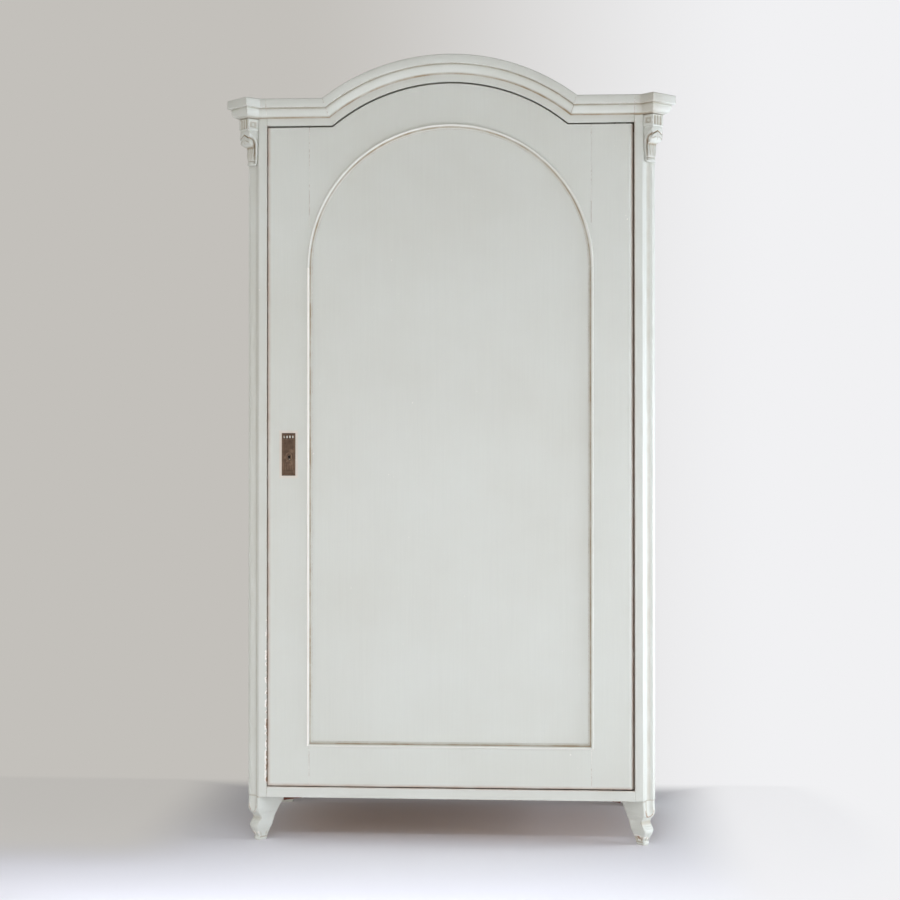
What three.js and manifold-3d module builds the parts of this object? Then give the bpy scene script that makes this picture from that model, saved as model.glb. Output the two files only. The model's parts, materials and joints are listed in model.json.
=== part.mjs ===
// Bonnetiere cabinet: a tall painted pine cupboard with canted front corners, one arched door on
// pivot hinges, an arched cornice with capitals, carved corbels and small scrolled feet.
// Millimetres, +X to the viewer's right, +Y to the back, +Z up. The carcass is drawn with the front
// face of the posts at y = 0 and the soles at z = 0, then centred front to back.

import * as THREE from 'three';
import { mergeVertices } from 'three/addons/utils/BufferGeometryUtils.js';
import Module from 'manifold-3d';

const wasm = await Module();
wasm.setup();

// Carcass
const bodyWidth = 1014;
const bodyDepth = 520;
const postWidth = 51;
const postDepth = 45;
const cantSize = 31;
const fluteWidth = 27;
const fluteDepth = 7;
const footHeight = 111;
const baseRailHeight = 26;
const baseRailDepth = 40;
const sideRailHeight = 70;
const topRailHeight = 110;
const railThickness = 25;
const panelThickness = 10;
const grooveDepth = 8;
const boardThickness = 18;
const topBoardLift = 3;
const boardLedge = 12;
const backThickness = 12;
const backBoardCount = 3;
const backLap = 8;

// Door opening, frieze and arch
const doorHeight = 1639;
const doorGap = 3;
const doorThickness = 25;
const archRadius = 455.5;
const archHalfChord = 291.5;
const friezeHeight = 18.5;
const friezeThickness = 26;
const headBoardThickness = 14;
const headBoardDrop = 20;
const stopWidth = 10;

// Cornice: crownHeight above the frieze, with an ovolo below a plain square-edged band
const crownHeight = 46.5;
const crownReach = 22;
const crownBackDrop = 4;
const crownFoot = 3;
const ovoloHeight = 23;
const ovoloReach = 15;
const quirkDepth = 2;
const quirkHeight = 2;
const bandRound = 3;

// Corbels and the break in the cornice above them
const corbelWidth = 38;
const corbelReach = 31;
const corbelHeight = 116;
const corbelBlockHeight = 28;
const corbelFluteWidth = 8;
const corbelFluteDepth = 2.5;
const corbelFluteMargin = 4;
const corbelFluteCount = 3;
const sunkPanelWidth = 20;
const sunkPanelHeight = 15;
const sunkPanelDepth = 2;
const voluteHeight = 38;
const leafHeight = 38;
const leafReach = 15;
const leafTopWidth = 31;
const leafTipWidth = 27;
const lipReach = 15;
const scrollGrooveWidth = 3;
const scrollGrooveDepth = 2;

// Feet
const footWidth = 42;
const footTopDepth = 78;
const footToeWidth = 18;
const footFluteHeight = 38;
const rearFootTaper = 9;

// Door frame, panel and planted moulding
const stileMargin = 97;
const bottomMargin = 97;
const headMargin = 101;
const mouldingWidth = 13.5;
const mouldingLap = 6;
const mouldingRise = 4.5;
const beadWidth = 8;
const panelRecess = 6;

// Lock, striking plate and escutcheon
const escutcheonWidth = 34;
const escutcheonHeight = 106;
const escutcheonThickness = 1.5;
const escutcheonInset = 51.5;
const escutcheonLift = 823;
const keyholeInset = 53;
const keyholeLift = 817;
const keyholeRadius = 3.5;
const keyholeSlotWidth = 3;
const keyholeSlotDrop = 8;
const caseWidth = 70;
const caseBelowKey = 30;
const caseAboveKey = 42;
const caseDepth = 13.7;
const caseWall = 2;
const coverThickness = 2;
const forendThickness = 3;
const forendWidth = 16;
const forendOverhang = 12;
const boltThickness = 8;
const boltHeadHeight = 14;
const boltHeadLength = 14;
const boltTailHeight = 8;
const boltTailLength = 50;
const boltAboveKey = 8;
const boltThrow = 10;
const boltSetback = 0.5;
const talonWidth = 8;
const talonDepth = 3;
const springThickness = 0.8;
const springWidth = 6;
const springLift = 16;
const springRun = 32;
const strikeWidth = 18;
const strikeHeight = 60;
const strikeThickness = 1.5;
const mortiseSpare = 4;

// Pivot hinges
const pivotRadius = 4;
const pivotLength = 14;
const pivotPlateThickness = 3;
const pivotPlateWidth = 16;
const pivotPlateLength = 60;
const socketPlateReach = 40;
const socketPlateEnd = 13;
const collarRadius = 7;
const socketDepth = 12;

// Shelves
const shelfCount = 2;
const shelfThickness = 20;
const shelfSetback = 2;
const shelfSideGap = 1;
const battenWidth = 20;
const battenHeight = 25;

// Clearances and overruns
const fitGap = 0.3;
const overrun = 5;

// Facets in the round parts
const archSteps = 24;
const panelArchSteps = 32;
const spandrelSteps = 3;
const fluteSteps = 6;
const ovoloSteps = 5;
const bandSteps = 2;
const roundSteps = 16;

const quarterTurn = Math.PI / 2;

// Lines that several pieces share
const halfWidth = bodyWidth / 2;
const openingHalf = halfWidth - postWidth;
const arrisX = halfWidth - cantSize;
const sideInnerX = halfWidth - railThickness;
const panelInnerX = halfWidth - (railThickness + panelThickness) / 2;
const rearPostY = bodyDepth - postDepth;
const backFaceY = bodyDepth - backThickness;
const rearRailY = backFaceY - railThickness;
const railTop = footHeight + baseRailHeight;
const sideRailTop = footHeight + sideRailHeight;
const doorBottom = railTop + doorGap;
const doorTop = doorBottom + doorHeight;
const friezeBottom = doorTop + doorGap;
const crownBottom = friezeBottom + friezeHeight;
const crownTop = crownBottom + crownHeight;
const carcassTop = crownTop - crownBackDrop;
const headBoardBottom = friezeBottom - headBoardDrop;
const headBoardBackY = friezeThickness + headBoardThickness;
const topRailBottom = carcassTop - topRailHeight;
const topBoardBottom = crownBottom + topBoardLift;
const archCentre = doorTop - Math.sqrt(archRadius ** 2 - archHalfChord ** 2);
const doorHalf = openingHalf - doorGap;
const pivotX = doorHalf - doorThickness / 2;
const pivotY = doorThickness / 2;
const mouldingHalf = doorHalf - stileMargin;
const frameHalf = mouldingHalf - mouldingLap;
const springZ = archCentre + archRadius - headMargin - mouldingHalf;
const mouldingBottom = doorBottom + bottomMargin;
const frameBottom = mouldingBottom + mouldingLap;
const keyholeX = keyholeInset - doorHalf;
const keyholeZ = doorBottom + keyholeLift;
const boltBottom = keyholeZ + boltAboveKey;
const caseFrontY = doorThickness - caseDepth;
const boltFrontY = caseFrontY + caseWall + (caseDepth - caseWall - coverThickness - boltThickness) / 2;
const cantSpan = Math.hypot(cantSize, cantSize);
const cantMiddleX = arrisX + cantSize / 2;
const cantMiddleY = cantSize / 2;

// Finishes
const painted = { color: 0xd3d6d0, roughness: 0.5, metalness: 0 };
const bareWood = { color: 0xb08a5c, roughness: 0.75, metalness: 0 };
const agedBrass = { color: 0x6b594e, roughness: 0.45, metalness: 0.9 };
const iron = { color: 0x55514c, roughness: 0.55, metalness: 0.85 };

// Geometry helpers

function shapeOf(points) {
  return new THREE.Shape(points.map(([a, b]) => new THREE.Vector2(a, b)));
}

function outlineOf(outline) {
  return Array.isArray(outline) ? shapeOf(outline) : outline;
}

function extrude(outline, depth) {
  return new THREE.ExtrudeGeometry(outlineOf(outline), { depth, bevelEnabled: false, curveSegments: 2 });
}

// A plan outline in x and y, raised from z0 to z1
function fromPlan(outline, z0, z1) {
  const geometry = extrude(outline, z1 - z0);
  geometry.translate(0, 0, z0);
  return geometry;
}

// A front outline in x and z, carried back from y0 to y1
function fromFront(outline, y0, y1) {
  const geometry = extrude(outline, y1 - y0);
  geometry.applyMatrix4(new THREE.Matrix4().set(1, 0, 0, 0, 0, 0, -1, 0, 0, 1, 0, 0, 0, 0, 0, 1));
  geometry.translate(0, y1, 0);
  return geometry;
}

// A side outline in y and z, carried across from x0 to x1
function fromSide(outline, x0, x1) {
  const geometry = extrude(outline, x1 - x0);
  geometry.applyMatrix4(new THREE.Matrix4().set(0, 0, 1, 0, 1, 0, 0, 0, 0, 1, 0, 0, 0, 0, 0, 1));
  geometry.translate(x0, 0, 0);
  return geometry;
}

function box(x0, x1, y0, y1, z0, z1) {
  const geometry = new THREE.BoxGeometry(x1 - x0, y1 - y0, z1 - z0);
  geometry.translate((x0 + x1) / 2, (y0 + y1) / 2, (z0 + z1) / 2);
  return geometry;
}

// A box that spans the same distance either side of the middle of the cabinet
function wideBox(half, y0, y1, z0, z1) {
  return box(-half, half, y0, y1, z0, z1);
}

// A box from one side of the cabinet, mirrored for the other side by side = -1
function sideBox(side, x0, x1, y0, y1, z0, z1) {
  return box(Math.min(side * x0, side * x1), Math.max(side * x0, side * x1), y0, y1, z0, z1);
}

function mirrored(side, points) {
  return points.map(([x, other]) => [side * x, other]);
}

function uprightCylinder(radius, x, y, z0, z1) {
  const geometry = new THREE.CylinderGeometry(radius, radius, z1 - z0, roundSteps);
  geometry.rotateX(quarterTurn);
  geometry.translate(x, y, (z0 + z1) / 2);
  return geometry;
}

// A closed skin through rings of points, each ring with the same number of points, capped at both ends
function loft(rings) {
  const count = rings[0].length;
  const flat = rings.flat(2);
  const index = [];
  for (let ring = 0; ring + 1 < rings.length; ring += 1) {
    for (let i = 0; i < count; i += 1) {
      const a = ring * count + i;
      const b = ring * count + (i + 1) % count;
      index.push(a, b, b + count, a, b + count, a + count);
    }
  }
  const caps = capTriangles(rings[0]);
  const last = (rings.length - 1) * count;
  for (const [a, b, c] of caps) {
    index.push(c, b, a, last + a, last + b, last + c);
  }
  const geometry = new THREE.BufferGeometry();
  geometry.setAttribute('position', new THREE.Float32BufferAttribute(flat, 3));
  geometry.setIndex(index);
  return facingOut(geometry);
}

// The triangles of one end ring, found in the plane in which the ring has the largest area
function capTriangles(ring) {
  const views = [[0, 1], [0, 2], [1, 2]].map(([u, v]) => {
    return ring.map((point) => new THREE.Vector2(point[u], point[v]));
  });
  const areas = views.map((view) => Math.abs(THREE.ShapeUtils.area(view)));
  const contour = views[areas.indexOf(Math.max(...areas))];
  const triangles = THREE.ShapeUtils.triangulateShape(contour, []);
  const turn = Math.sign(THREE.ShapeUtils.area(contour));
  return triangles.map(([a, b, c]) => {
    const area = THREE.ShapeUtils.area([contour[a], contour[b], contour[c]]);
    return Math.sign(area) === turn ? [a, b, c] : [c, b, a];
  });
}

// Turns a closed skin round if its faces point inwards
function facingOut(geometry) {
  const position = geometry.attributes.position;
  const index = geometry.index.array;
  const [a, b, c] = [new THREE.Vector3(), new THREE.Vector3(), new THREE.Vector3()];
  let volume = 0;
  for (let i = 0; i < index.length; i += 3) {
    a.fromBufferAttribute(position, index[i]);
    b.fromBufferAttribute(position, index[i + 1]);
    c.fromBufferAttribute(position, index[i + 2]);
    volume += a.dot(b.cross(c));
  }
  if (volume < 0) {
    for (let i = 0; i < index.length; i += 3) {
      [index[i], index[i + 2]] = [index[i + 2], index[i]];
    }
  }
  return geometry;
}

function toSolid(geometry) {
  const bare = geometry.clone();
  bare.deleteAttribute('normal');
  bare.deleteAttribute('uv');
  const merged = mergeVertices(bare);
  return new wasm.Manifold(new wasm.Mesh({
    numProp: 3,
    vertProperties: new Float32Array(merged.attributes.position.array),
    triVerts: new Uint32Array(merged.index.array),
  }));
}

function toGeometry(solid) {
  const mesh = solid.getMesh();
  const geometry = new THREE.BufferGeometry();
  geometry.setAttribute('position', new THREE.BufferAttribute(new Float32Array(mesh.vertProperties), 3));
  geometry.setIndex(new THREE.BufferAttribute(new Uint32Array(mesh.triVerts), 1));
  return geometry;
}

function cut(base, ...tools) {
  return toGeometry(tools.reduce((solid, tool) => solid.subtract(toSolid(tool)), toSolid(base)));
}

function join(base, ...others) {
  return toGeometry(others.reduce((solid, other) => solid.add(toSolid(other)), toSolid(base)));
}

function common(first, second) {
  return toGeometry(toSolid(first).intersect(toSolid(second)));
}

// Assembly groups: the carcass stands still, the door turns about its pivots, the bolt slides in the door
const cabinet = new THREE.Group();
const door = new THREE.Group();
const lockSlide = new THREE.Group();
door.position.set(pivotX, pivotY, 0);
cabinet.add(door);
door.add(lockSlide);

function add(parent, name, geometry, finish) {
  const mesh = new THREE.Mesh(geometry, new THREE.MeshStandardMaterial(finish));
  mesh.name = name;
  parent.add(mesh);
  return mesh;
}

// Pieces on the door are drawn where they hang and moved into the door's own frame
function addToDoor(name, geometry, finish, parent = door) {
  geometry.translate(-pivotX, -pivotY, 0);
  return add(parent, name, geometry, finish);
}

const sides = [['left', -1], ['right', 1]];

// Posts

// The hollow flute on the canted face, as plan points from its front edge to its back edge
function flutePoints() {
  const half = fluteWidth / 2;
  const radius = (half ** 2 + fluteDepth ** 2) / (2 * fluteDepth);
  const reach = Math.asin(half / radius);
  const along = new THREE.Vector2(1, 1).normalize();
  const inward = new THREE.Vector2(-1, 1).normalize();
  const points = [];
  for (let i = 0; i <= fluteSteps; i += 1) {
    const angle = reach * (2 * i / fluteSteps - 1);
    const s = radius * Math.sin(angle);
    const d = radius * Math.cos(angle) - (radius - fluteDepth);
    points.push([
      cantMiddleX + along.x * s + inward.x * d,
      cantMiddleY + along.y * s + inward.y * d,
    ]);
  }
  return points;
}

const grooveX0 = panelInnerX - fitGap;
const grooveX1 = panelInnerX + panelThickness + fitGap;

function frontPostPlan() {
  return [
    [openingHalf, 0],
    [arrisX, 0],
    ...flutePoints(),
    [halfWidth, cantSize],
    [halfWidth, postDepth],
    [grooveX1, postDepth],
    [grooveX1, postDepth - grooveDepth],
    [grooveX0, postDepth - grooveDepth],
    [grooveX0, postDepth],
    [openingHalf, postDepth],
  ];
}

function rearPostPlan() {
  return [
    [openingHalf, rearPostY],
    [grooveX0, rearPostY],
    [grooveX0, rearPostY + grooveDepth],
    [grooveX1, rearPostY + grooveDepth],
    [grooveX1, rearPostY],
    [halfWidth, rearPostY],
    [halfWidth, bodyDepth],
    [openingHalf + backThickness, bodyDepth],
    [openingHalf + backThickness, backFaceY],
    [openingHalf, backFaceY],
  ];
}

// The room in the striking post for the plate and, behind it, for the thrown bolt
function strikeRoom() {
  const plate = box(
    -openingHalf - strikeThickness - fitGap, -openingHalf + overrun,
    boltFrontY + boltThickness / 2 - strikeWidth / 2 - fitGap,
    boltFrontY + boltThickness / 2 + strikeWidth / 2 + fitGap,
    boltBottom + boltHeadHeight / 2 - strikeHeight / 2 - fitGap,
    boltBottom + boltHeadHeight / 2 + strikeHeight / 2 + fitGap,
  );
  return join(plate, boltHole(-openingHalf - boltThrow - mortiseSpare, -openingHalf + overrun));
}

// A rectangular hole that the bolt passes through with a running gap
function boltHole(x0, x1) {
  return box(
    x0, x1,
    boltFrontY - fitGap, boltFrontY + boltThickness + fitGap,
    boltBottom - fitGap, boltBottom + boltHeadHeight + fitGap,
  );
}

for (const [word, side] of sides) {
  const front = fromPlan(mirrored(side, frontPostPlan()), footHeight, crownBottom);
  add(cabinet, `post_front_${word}`, side < 0 ? cut(front, strikeRoom()) : front, painted);
  const rear = fromPlan(mirrored(side, rearPostPlan()), footHeight, carcassTop);
  add(cabinet, `post_rear_${word}`, rear, painted);
}

function strikePlate() {
  const plate = box(
    -openingHalf - strikeThickness, -openingHalf,
    boltFrontY + boltThickness / 2 - strikeWidth / 2, boltFrontY + boltThickness / 2 + strikeWidth / 2,
    boltBottom + boltHeadHeight / 2 - strikeHeight / 2, boltBottom + boltHeadHeight / 2 + strikeHeight / 2,
  );
  return cut(plate, boltHole(-openingHalf - strikeThickness - overrun, -openingHalf + overrun));
}

add(cabinet, 'strike_plate', strikePlate(), iron);

// Feet

// The side of a scrolled front foot, seen square to the diagonal: y is the depth behind the canted
// face and z the height, as shares of the foot's depth and height
const footFrontShares = [
  [0, 1], [-0.01, 0.85], [-0.02, 0.74], [-0.005, 0.67], [0.05, 0.61], [0.12, 0.56], [0.14, 0.5],
  [0.1, 0.45], [0.03, 0.4], [-0.02, 0.35], [-0.025, 0.3], [0, 0.25], [0.045, 0.19], [0.085, 0.13],
  [0.11, 0.09],
];
const footBackShares = [
  [0.43, 0.02], [0.47, 0.12], [0.52, 0.23], [0.59, 0.36], [0.665, 0.5], [0.735, 0.63], [0.775, 0.72],
  [0.845, 0.83], [0.93, 0.91], [1, 1],
];
const footSoleShares = [[0.095, 0.07], [0.095, 0], [0.42, 0]];

// Half the width of the same foot by height, as shares of the block's half width and of the height
const footWidthShares = [
  [1, 1], [1, 0.74], [0.93, 0.65], [0.83, 0.58], [0.79, 0.5], [0.81, 0.42], [0.8, 0.35], [0.74, 0.29],
  [0.63, 0.23], [0.53, 0.17], [0.46, 0.11], [0.44, 0.07],
];

function footSideOutline() {
  const place = ([depthShare, heightShare]) => {
    return new THREE.Vector2(depthShare * footTopDepth, heightShare * footHeight);
  };
  const front = footFrontShares.map(place);
  const back = footBackShares.map(place);
  const shape = new THREE.Shape();
  shape.moveTo(front[0].x, front[0].y);
  shape.splineThru(front.slice(1));
  for (const point of footSoleShares.map(place)) {
    shape.lineTo(point.x, point.y);
  }
  shape.lineTo(back[0].x, back[0].y);
  shape.splineThru(back.slice(1));
  return shape;
}

function footFrontOutline() {
  const toeShare = footToeWidth / footWidth;
  const narrowest = Math.min(...footWidthShares.map(([widthShare]) => widthShare));
  const half = footWidthShares.map(([widthShare, heightShare]) => {
    const drawnIn = (1 - widthShare) / (1 - narrowest) * (1 - toeShare);
    return [(1 - drawnIn) * footWidth / 2, heightShare * footHeight];
  });
  const sole = half[half.length - 1][0] - fitGap;
  return [
    ...half,
    [sole, 0],
    [-sole, 0],
    ...half.map(([x, z]) => [-x, z]).reverse(),
  ];
}

// A flute cut square into a face at y = 0, from z0 to z1
function fluteTool(x, width, depth, z0, z1) {
  const half = width / 2;
  const radius = (half ** 2 + depth ** 2) / (2 * depth);
  const geometry = new THREE.CylinderGeometry(radius, radius, z1 - z0, 4 * fluteSteps);
  geometry.rotateX(quarterTurn);
  geometry.translate(x, depth - radius, (z0 + z1) / 2);
  return geometry;
}

function frontFoot() {
  const side = fromSide(footSideOutline(), -footWidth / 2, footWidth / 2);
  const front = fromFront(footFrontOutline(), -footTopDepth, 2 * footTopDepth);
  const flute = fluteTool(0, fluteWidth, fluteDepth, footHeight - footFluteHeight, footHeight + overrun);
  return cut(common(side, front), flute);
}

// A plain tapered foot under a rear post
function rearFoot(side) {
  const ring = (z, inset) => mirrored(side, [
    [openingHalf + inset, rearPostY + inset],
    [halfWidth - inset, rearPostY + inset],
    [halfWidth - inset, bodyDepth - inset],
    [openingHalf + inset, bodyDepth - inset],
  ]).map(([x, y]) => [x, y, z]);
  return loft([ring(0, rearFootTaper), ring(footHeight, 0)]);
}

for (const [word, side] of sides) {
  const foot = add(cabinet, `foot_front_${word}`, frontFoot(), painted);
  foot.position.set(side * cantMiddleX, cantMiddleY, 0);
  foot.rotation.z = side * quarterTurn / 2;
  add(cabinet, `foot_rear_${word}`, rearFoot(side), painted);
}

// Base rails, side frames, bottom and top boards

function baseFrontRail() {
  const ledgeY = baseRailDepth - boardLedge;
  const section = [
    [0, footHeight],
    [baseRailDepth, footHeight],
    [baseRailDepth, railTop - boardThickness],
    [ledgeY, railTop - boardThickness],
    [ledgeY, railTop],
    [0, railTop],
  ];
  const rail = fromSide(section, -openingHalf, openingHalf);
  return cut(rail, socketPlateRoom(railTop - pivotPlateThickness, railTop + overrun),
    uprightCylinder(pivotRadius + 2 * fitGap, pivotX, pivotY, railTop - socketDepth, railTop + overrun));
}

// A side rail with a groove for the panel on one edge and one for a board in its inner face
function sideRail(side, z0, z1, panelGrooveAtTop, boardZ) {
  const grooveEdge = panelGrooveAtTop ? z1 : z0;
  const grooveEnd = panelGrooveAtTop ? z1 - grooveDepth : z0 + grooveDepth;
  const grooveSteps = [
    [grooveX0, grooveEdge], [grooveX0, grooveEnd], [grooveX1, grooveEnd], [grooveX1, grooveEdge],
  ];
  const inner = [
    [sideInnerX, boardZ + boardThickness + fitGap],
    [sideInnerX + grooveDepth, boardZ + boardThickness + fitGap],
    [sideInnerX + grooveDepth, boardZ - fitGap],
    [sideInnerX, boardZ - fitGap],
  ];
  const outline = [
    ...inner,
    [sideInnerX, z0],
    ...(panelGrooveAtTop ? [] : grooveSteps),
    [halfWidth, z0],
    [halfWidth, z1],
    ...(panelGrooveAtTop ? [...grooveSteps].reverse() : []),
    [sideInnerX, z1],
  ];
  return fromFront(mirrored(side, outline), postDepth, rearPostY);
}

// A board between the posts that widens into the grooves of the side rails
function carcassBoard(frontY, z0) {
  const wide = sideInnerX + grooveDepth - fitGap;
  const half = [
    [openingHalf, frontY],
    [openingHalf, postDepth],
    [wide, postDepth],
    [wide, rearPostY],
    [openingHalf, rearPostY],
    [openingHalf, rearRailY],
  ];
  return fromPlan([...half, ...mirrored(-1, half).reverse()], z0, z0 + boardThickness);
}

for (const [word, side] of sides) {
  add(cabinet, `base_rail_${word}`,
    sideRail(side, footHeight, sideRailTop, true, railTop - boardThickness), painted);
  add(cabinet, `top_rail_${word}`, sideRail(side, topRailBottom, carcassTop, false, topBoardBottom), painted);
  add(cabinet, `side_panel_${word}`,
    sideBox(side, panelInnerX, panelInnerX + panelThickness,
      postDepth - grooveDepth + fitGap, rearPostY + grooveDepth - fitGap,
      sideRailTop - grooveDepth + fitGap, topRailBottom + grooveDepth - fitGap), painted);
}

add(cabinet, 'base_rail_front', baseFrontRail(), painted);
add(cabinet, 'base_rail_rear',
  wideBox(openingHalf, rearRailY, backFaceY, footHeight, sideRailTop), bareWood);
add(cabinet, 'top_rail_rear',
  wideBox(openingHalf, rearRailY, backFaceY, topRailBottom, carcassTop), bareWood);
add(cabinet, 'bottom_board', carcassBoard(baseRailDepth - boardLedge, railTop - boardThickness), bareWood);
add(cabinet, 'top_board', carcassBoard(headBoardBackY, topBoardBottom), bareWood);

// Back boards, lapped over each other
function backBoardPlan(i) {
  const span = 2 * (openingHalf + backThickness);
  const x0 = -span / 2 + i * span / backBoardCount;
  const x1 = x0 + span / backBoardCount;
  const middleY = backFaceY + backThickness / 2;
  const leftEdge = i === 0
    ? [[x0, bodyDepth], [x0, backFaceY]]
    : [
      [x0 + fitGap, bodyDepth],
      [x0 + fitGap, middleY],
      [x0 - backLap + fitGap, middleY],
      [x0 - backLap + fitGap, backFaceY],
    ];
  const rightEdge = i === backBoardCount - 1
    ? [[x1, backFaceY], [x1, bodyDepth]]
    : [
      [x1 - backLap, backFaceY],
      [x1 - backLap, middleY + fitGap],
      [x1, middleY + fitGap],
      [x1, bodyDepth],
    ];
  return [...leftEdge, ...rightEdge];
}

for (let i = 0; i < backBoardCount; i += 1) {
  add(cabinet, `back_board_${i + 1}`, fromPlan(backBoardPlan(i), footHeight, carcassTop), bareWood);
}

// Frieze and head board

function arcAbout(centreZ, radius, fromAngle, toAngle, steps) {
  const points = [];
  for (let i = 0; i <= steps; i += 1) {
    const angle = fromAngle + (toAngle - fromAngle) * i / steps;
    points.push([radius * Math.sin(angle), centreZ + radius * Math.cos(angle)]);
  }
  return points;
}

// How far from the middle a circle about the arch's centre meets a level line
function meets(radius, z) {
  return Math.sqrt(radius ** 2 - (z - archCentre) ** 2);
}

// The line that runs level from the left, over the arch and level to the right
function archedLine(half, level, radius) {
  const turn = Math.asin(meets(radius, level) / radius);
  return [[-half, level], ...arcAbout(archCentre, radius, -turn, turn, archSteps), [half, level]];
}

function friezeOutline() {
  const radiusAt = (z) => archRadius + z - doorTop;
  return [
    ...archedLine(openingHalf, friezeBottom, radiusAt(friezeBottom)),
    ...archedLine(openingHalf, carcassTop, radiusAt(carcassTop)).reverse(),
  ];
}

function headBoardOutline() {
  return [
    [-openingHalf, headBoardBottom],
    [openingHalf, headBoardBottom],
    ...archedLine(openingHalf, carcassTop, archRadius + carcassTop - doorTop).reverse(),
  ];
}

add(cabinet, 'frieze_rail', cut(
  fromFront(friezeOutline(), 0, friezeThickness),
  socketPlateRoom(friezeBottom - overrun, friezeBottom + pivotPlateThickness),
  uprightCylinder(pivotRadius + 2 * fitGap, pivotX, pivotY, friezeBottom - overrun,
    friezeBottom + pivotLength),
), painted);
add(cabinet, 'head_board', fromFront(headBoardOutline(), friezeThickness, headBoardBackY), bareWood);

for (const [word, side] of sides) {
  add(cabinet, `door_stop_${word}`,
    sideBox(side, openingHalf - stopWidth, openingHalf, friezeThickness, headBoardBackY,
      railTop, headBoardBottom), painted);
}

// Cornice

// The front of the crown moulding from its foot to its top, as reach and height above the frieze
function crownProfile() {
  const points = [[crownFoot, 0]];
  for (let i = 0; i <= ovoloSteps; i += 1) {
    const angle = quarterTurn * i / ovoloSteps;
    points.push([
      crownFoot + quirkDepth + (ovoloReach - crownFoot - quirkDepth) * Math.sin(angle),
      quirkHeight + (ovoloHeight - 2 * quirkHeight) * (1 - Math.cos(angle)),
    ]);
  }
  points.push(
    [ovoloReach - quirkDepth, ovoloHeight],
    [ovoloReach - quirkDepth, ovoloHeight + quirkHeight],
    [crownReach - quirkDepth, ovoloHeight + quirkHeight],
    [crownReach, ovoloHeight + 2 * quirkHeight],
  );
  for (let i = 0; i <= bandSteps; i += 1) {
    const angle = quarterTurn * i / bandSteps;
    points.push([
      crownReach - bandRound * (1 - Math.cos(angle)),
      crownHeight - bandRound * (1 - Math.sin(angle)),
    ]);
  }
  return points;
}

const crownRadius = archRadius + crownBottom - doorTop;

// The whole section, closed along the face that it is planted on
function crownSection() {
  return [[0, 0], ...crownProfile(), [0, crownHeight]];
}

function mitreX(rise) {
  return meets(crownRadius + rise, crownBottom + rise);
}

function crownArch() {
  const rings = [];
  for (let i = 0; i <= archSteps; i += 1) {
    const share = 2 * i / archSteps - 1;
    rings.push(crownSection().map(([reach, rise]) => {
      const radius = crownRadius + rise;
      const turn = share * (Math.asin(mitreX(rise) / radius) - fitGap / radius);
      return [radius * Math.sin(turn), -reach, archCentre + radius * Math.cos(turn)];
    }));
  }
  return loft(rings);
}

function crownFront(side) {
  const ring = (xAt) => crownSection().map(([reach, rise]) => [side * xAt(rise), -reach, crownBottom + rise]);
  return loft([ring((rise) => mitreX(rise)), ring(() => openingHalf)]);
}

// The plan of the cornice over one corner when it stands out by reach: along the front, out and
// round the break above the corbel, and along the side
function cornerPlan(reach) {
  const diagonal = Math.SQRT1_2;
  const blockHalf = corbelWidth / 2;
  const backSlip = 2 * (cantSpan / 2 - blockHalf) * diagonal - (Math.SQRT2 - 1) * reach;
  const out = corbelReach + reach;
  const wide = blockHalf + reach;
  const corner = (along) => [
    cantMiddleX + (along + out) * diagonal,
    cantMiddleY + (along - out) * diagonal,
  ];
  return [
    [openingHalf, -reach],
    [arrisX + backSlip, -reach],
    corner(-wide),
    corner(wide),
    [halfWidth + reach, cantSize - backSlip],
    [halfWidth + reach, postDepth],
    [openingHalf, postDepth],
  ];
}

function capital(side) {
  const levels = crownProfile().map(([reach, rise]) => {
    return mirrored(side, cornerPlan(reach)).map(([x, y]) => [x, y, crownBottom + rise]);
  });
  return loft(levels);
}

function crownSide(side) {
  const outline = crownSection().map(([reach, rise]) => [halfWidth + reach, crownBottom + rise]);
  return fromFront(mirrored(side, outline), postDepth, bodyDepth);
}

add(cabinet, 'crown_arch', crownArch(), painted);
for (const [word, side] of sides) {
  add(cabinet, `crown_front_${word}`, crownFront(side), painted);
  add(cabinet, `capital_${word}`, capital(side), painted);
  add(cabinet, `crown_side_${word}`, crownSide(side), painted);
}

// Corbels, drawn facing the front with the canted face at y = 0 and turned to the corner afterwards

// The volute and leaf in side view below the block, as shares of the reach and of each one's height.
// The eye of the volute stands at a share of the reach, inside a ring whose radius is a share of the height
const voluteShares = [
  [0.8, 1], [0.93, 0.9], [1, 0.7], [0.99, 0.45], [0.9, 0.22], [0.7, 0.05], [0.42, 0],
];
const leafShares = [[0.9, 1], [1, 0.8], [0.95, 0.5], [0.75, 0.2], [0.6, 0]];
const eyeShare = 0.52;
const ringShare = 0.36;

function corbelBlock(z0, z1) {
  const block = box(-corbelWidth / 2, corbelWidth / 2, -corbelReach, -fitGap, z0, z1);
  const pitch = (corbelWidth - 2 * corbelFluteMargin) / corbelFluteCount;
  const flutes = [];
  for (let i = 0; i < corbelFluteCount; i += 1) {
    const x = -corbelWidth / 2 + corbelFluteMargin + (i + 0.5) * pitch;
    const flute = fluteTool(x, corbelFluteWidth, corbelFluteDepth,
      z0 + corbelFluteMargin, z1 - corbelFluteMargin);
    flute.translate(0, -corbelReach, 0);
    flutes.push(flute);
  }
  const panels = [-1, 1].map((side) => {
    const middleZ = (z0 + z1) / 2;
    return sideBox(side, corbelWidth / 2 - sunkPanelDepth, corbelWidth / 2 + overrun,
      -(corbelReach + sunkPanelWidth) / 2, -(corbelReach - sunkPanelWidth) / 2,
      middleZ - sunkPanelHeight / 2, middleZ + sunkPanelHeight / 2);
  });
  return cut(block, ...flutes, ...panels);
}

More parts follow.
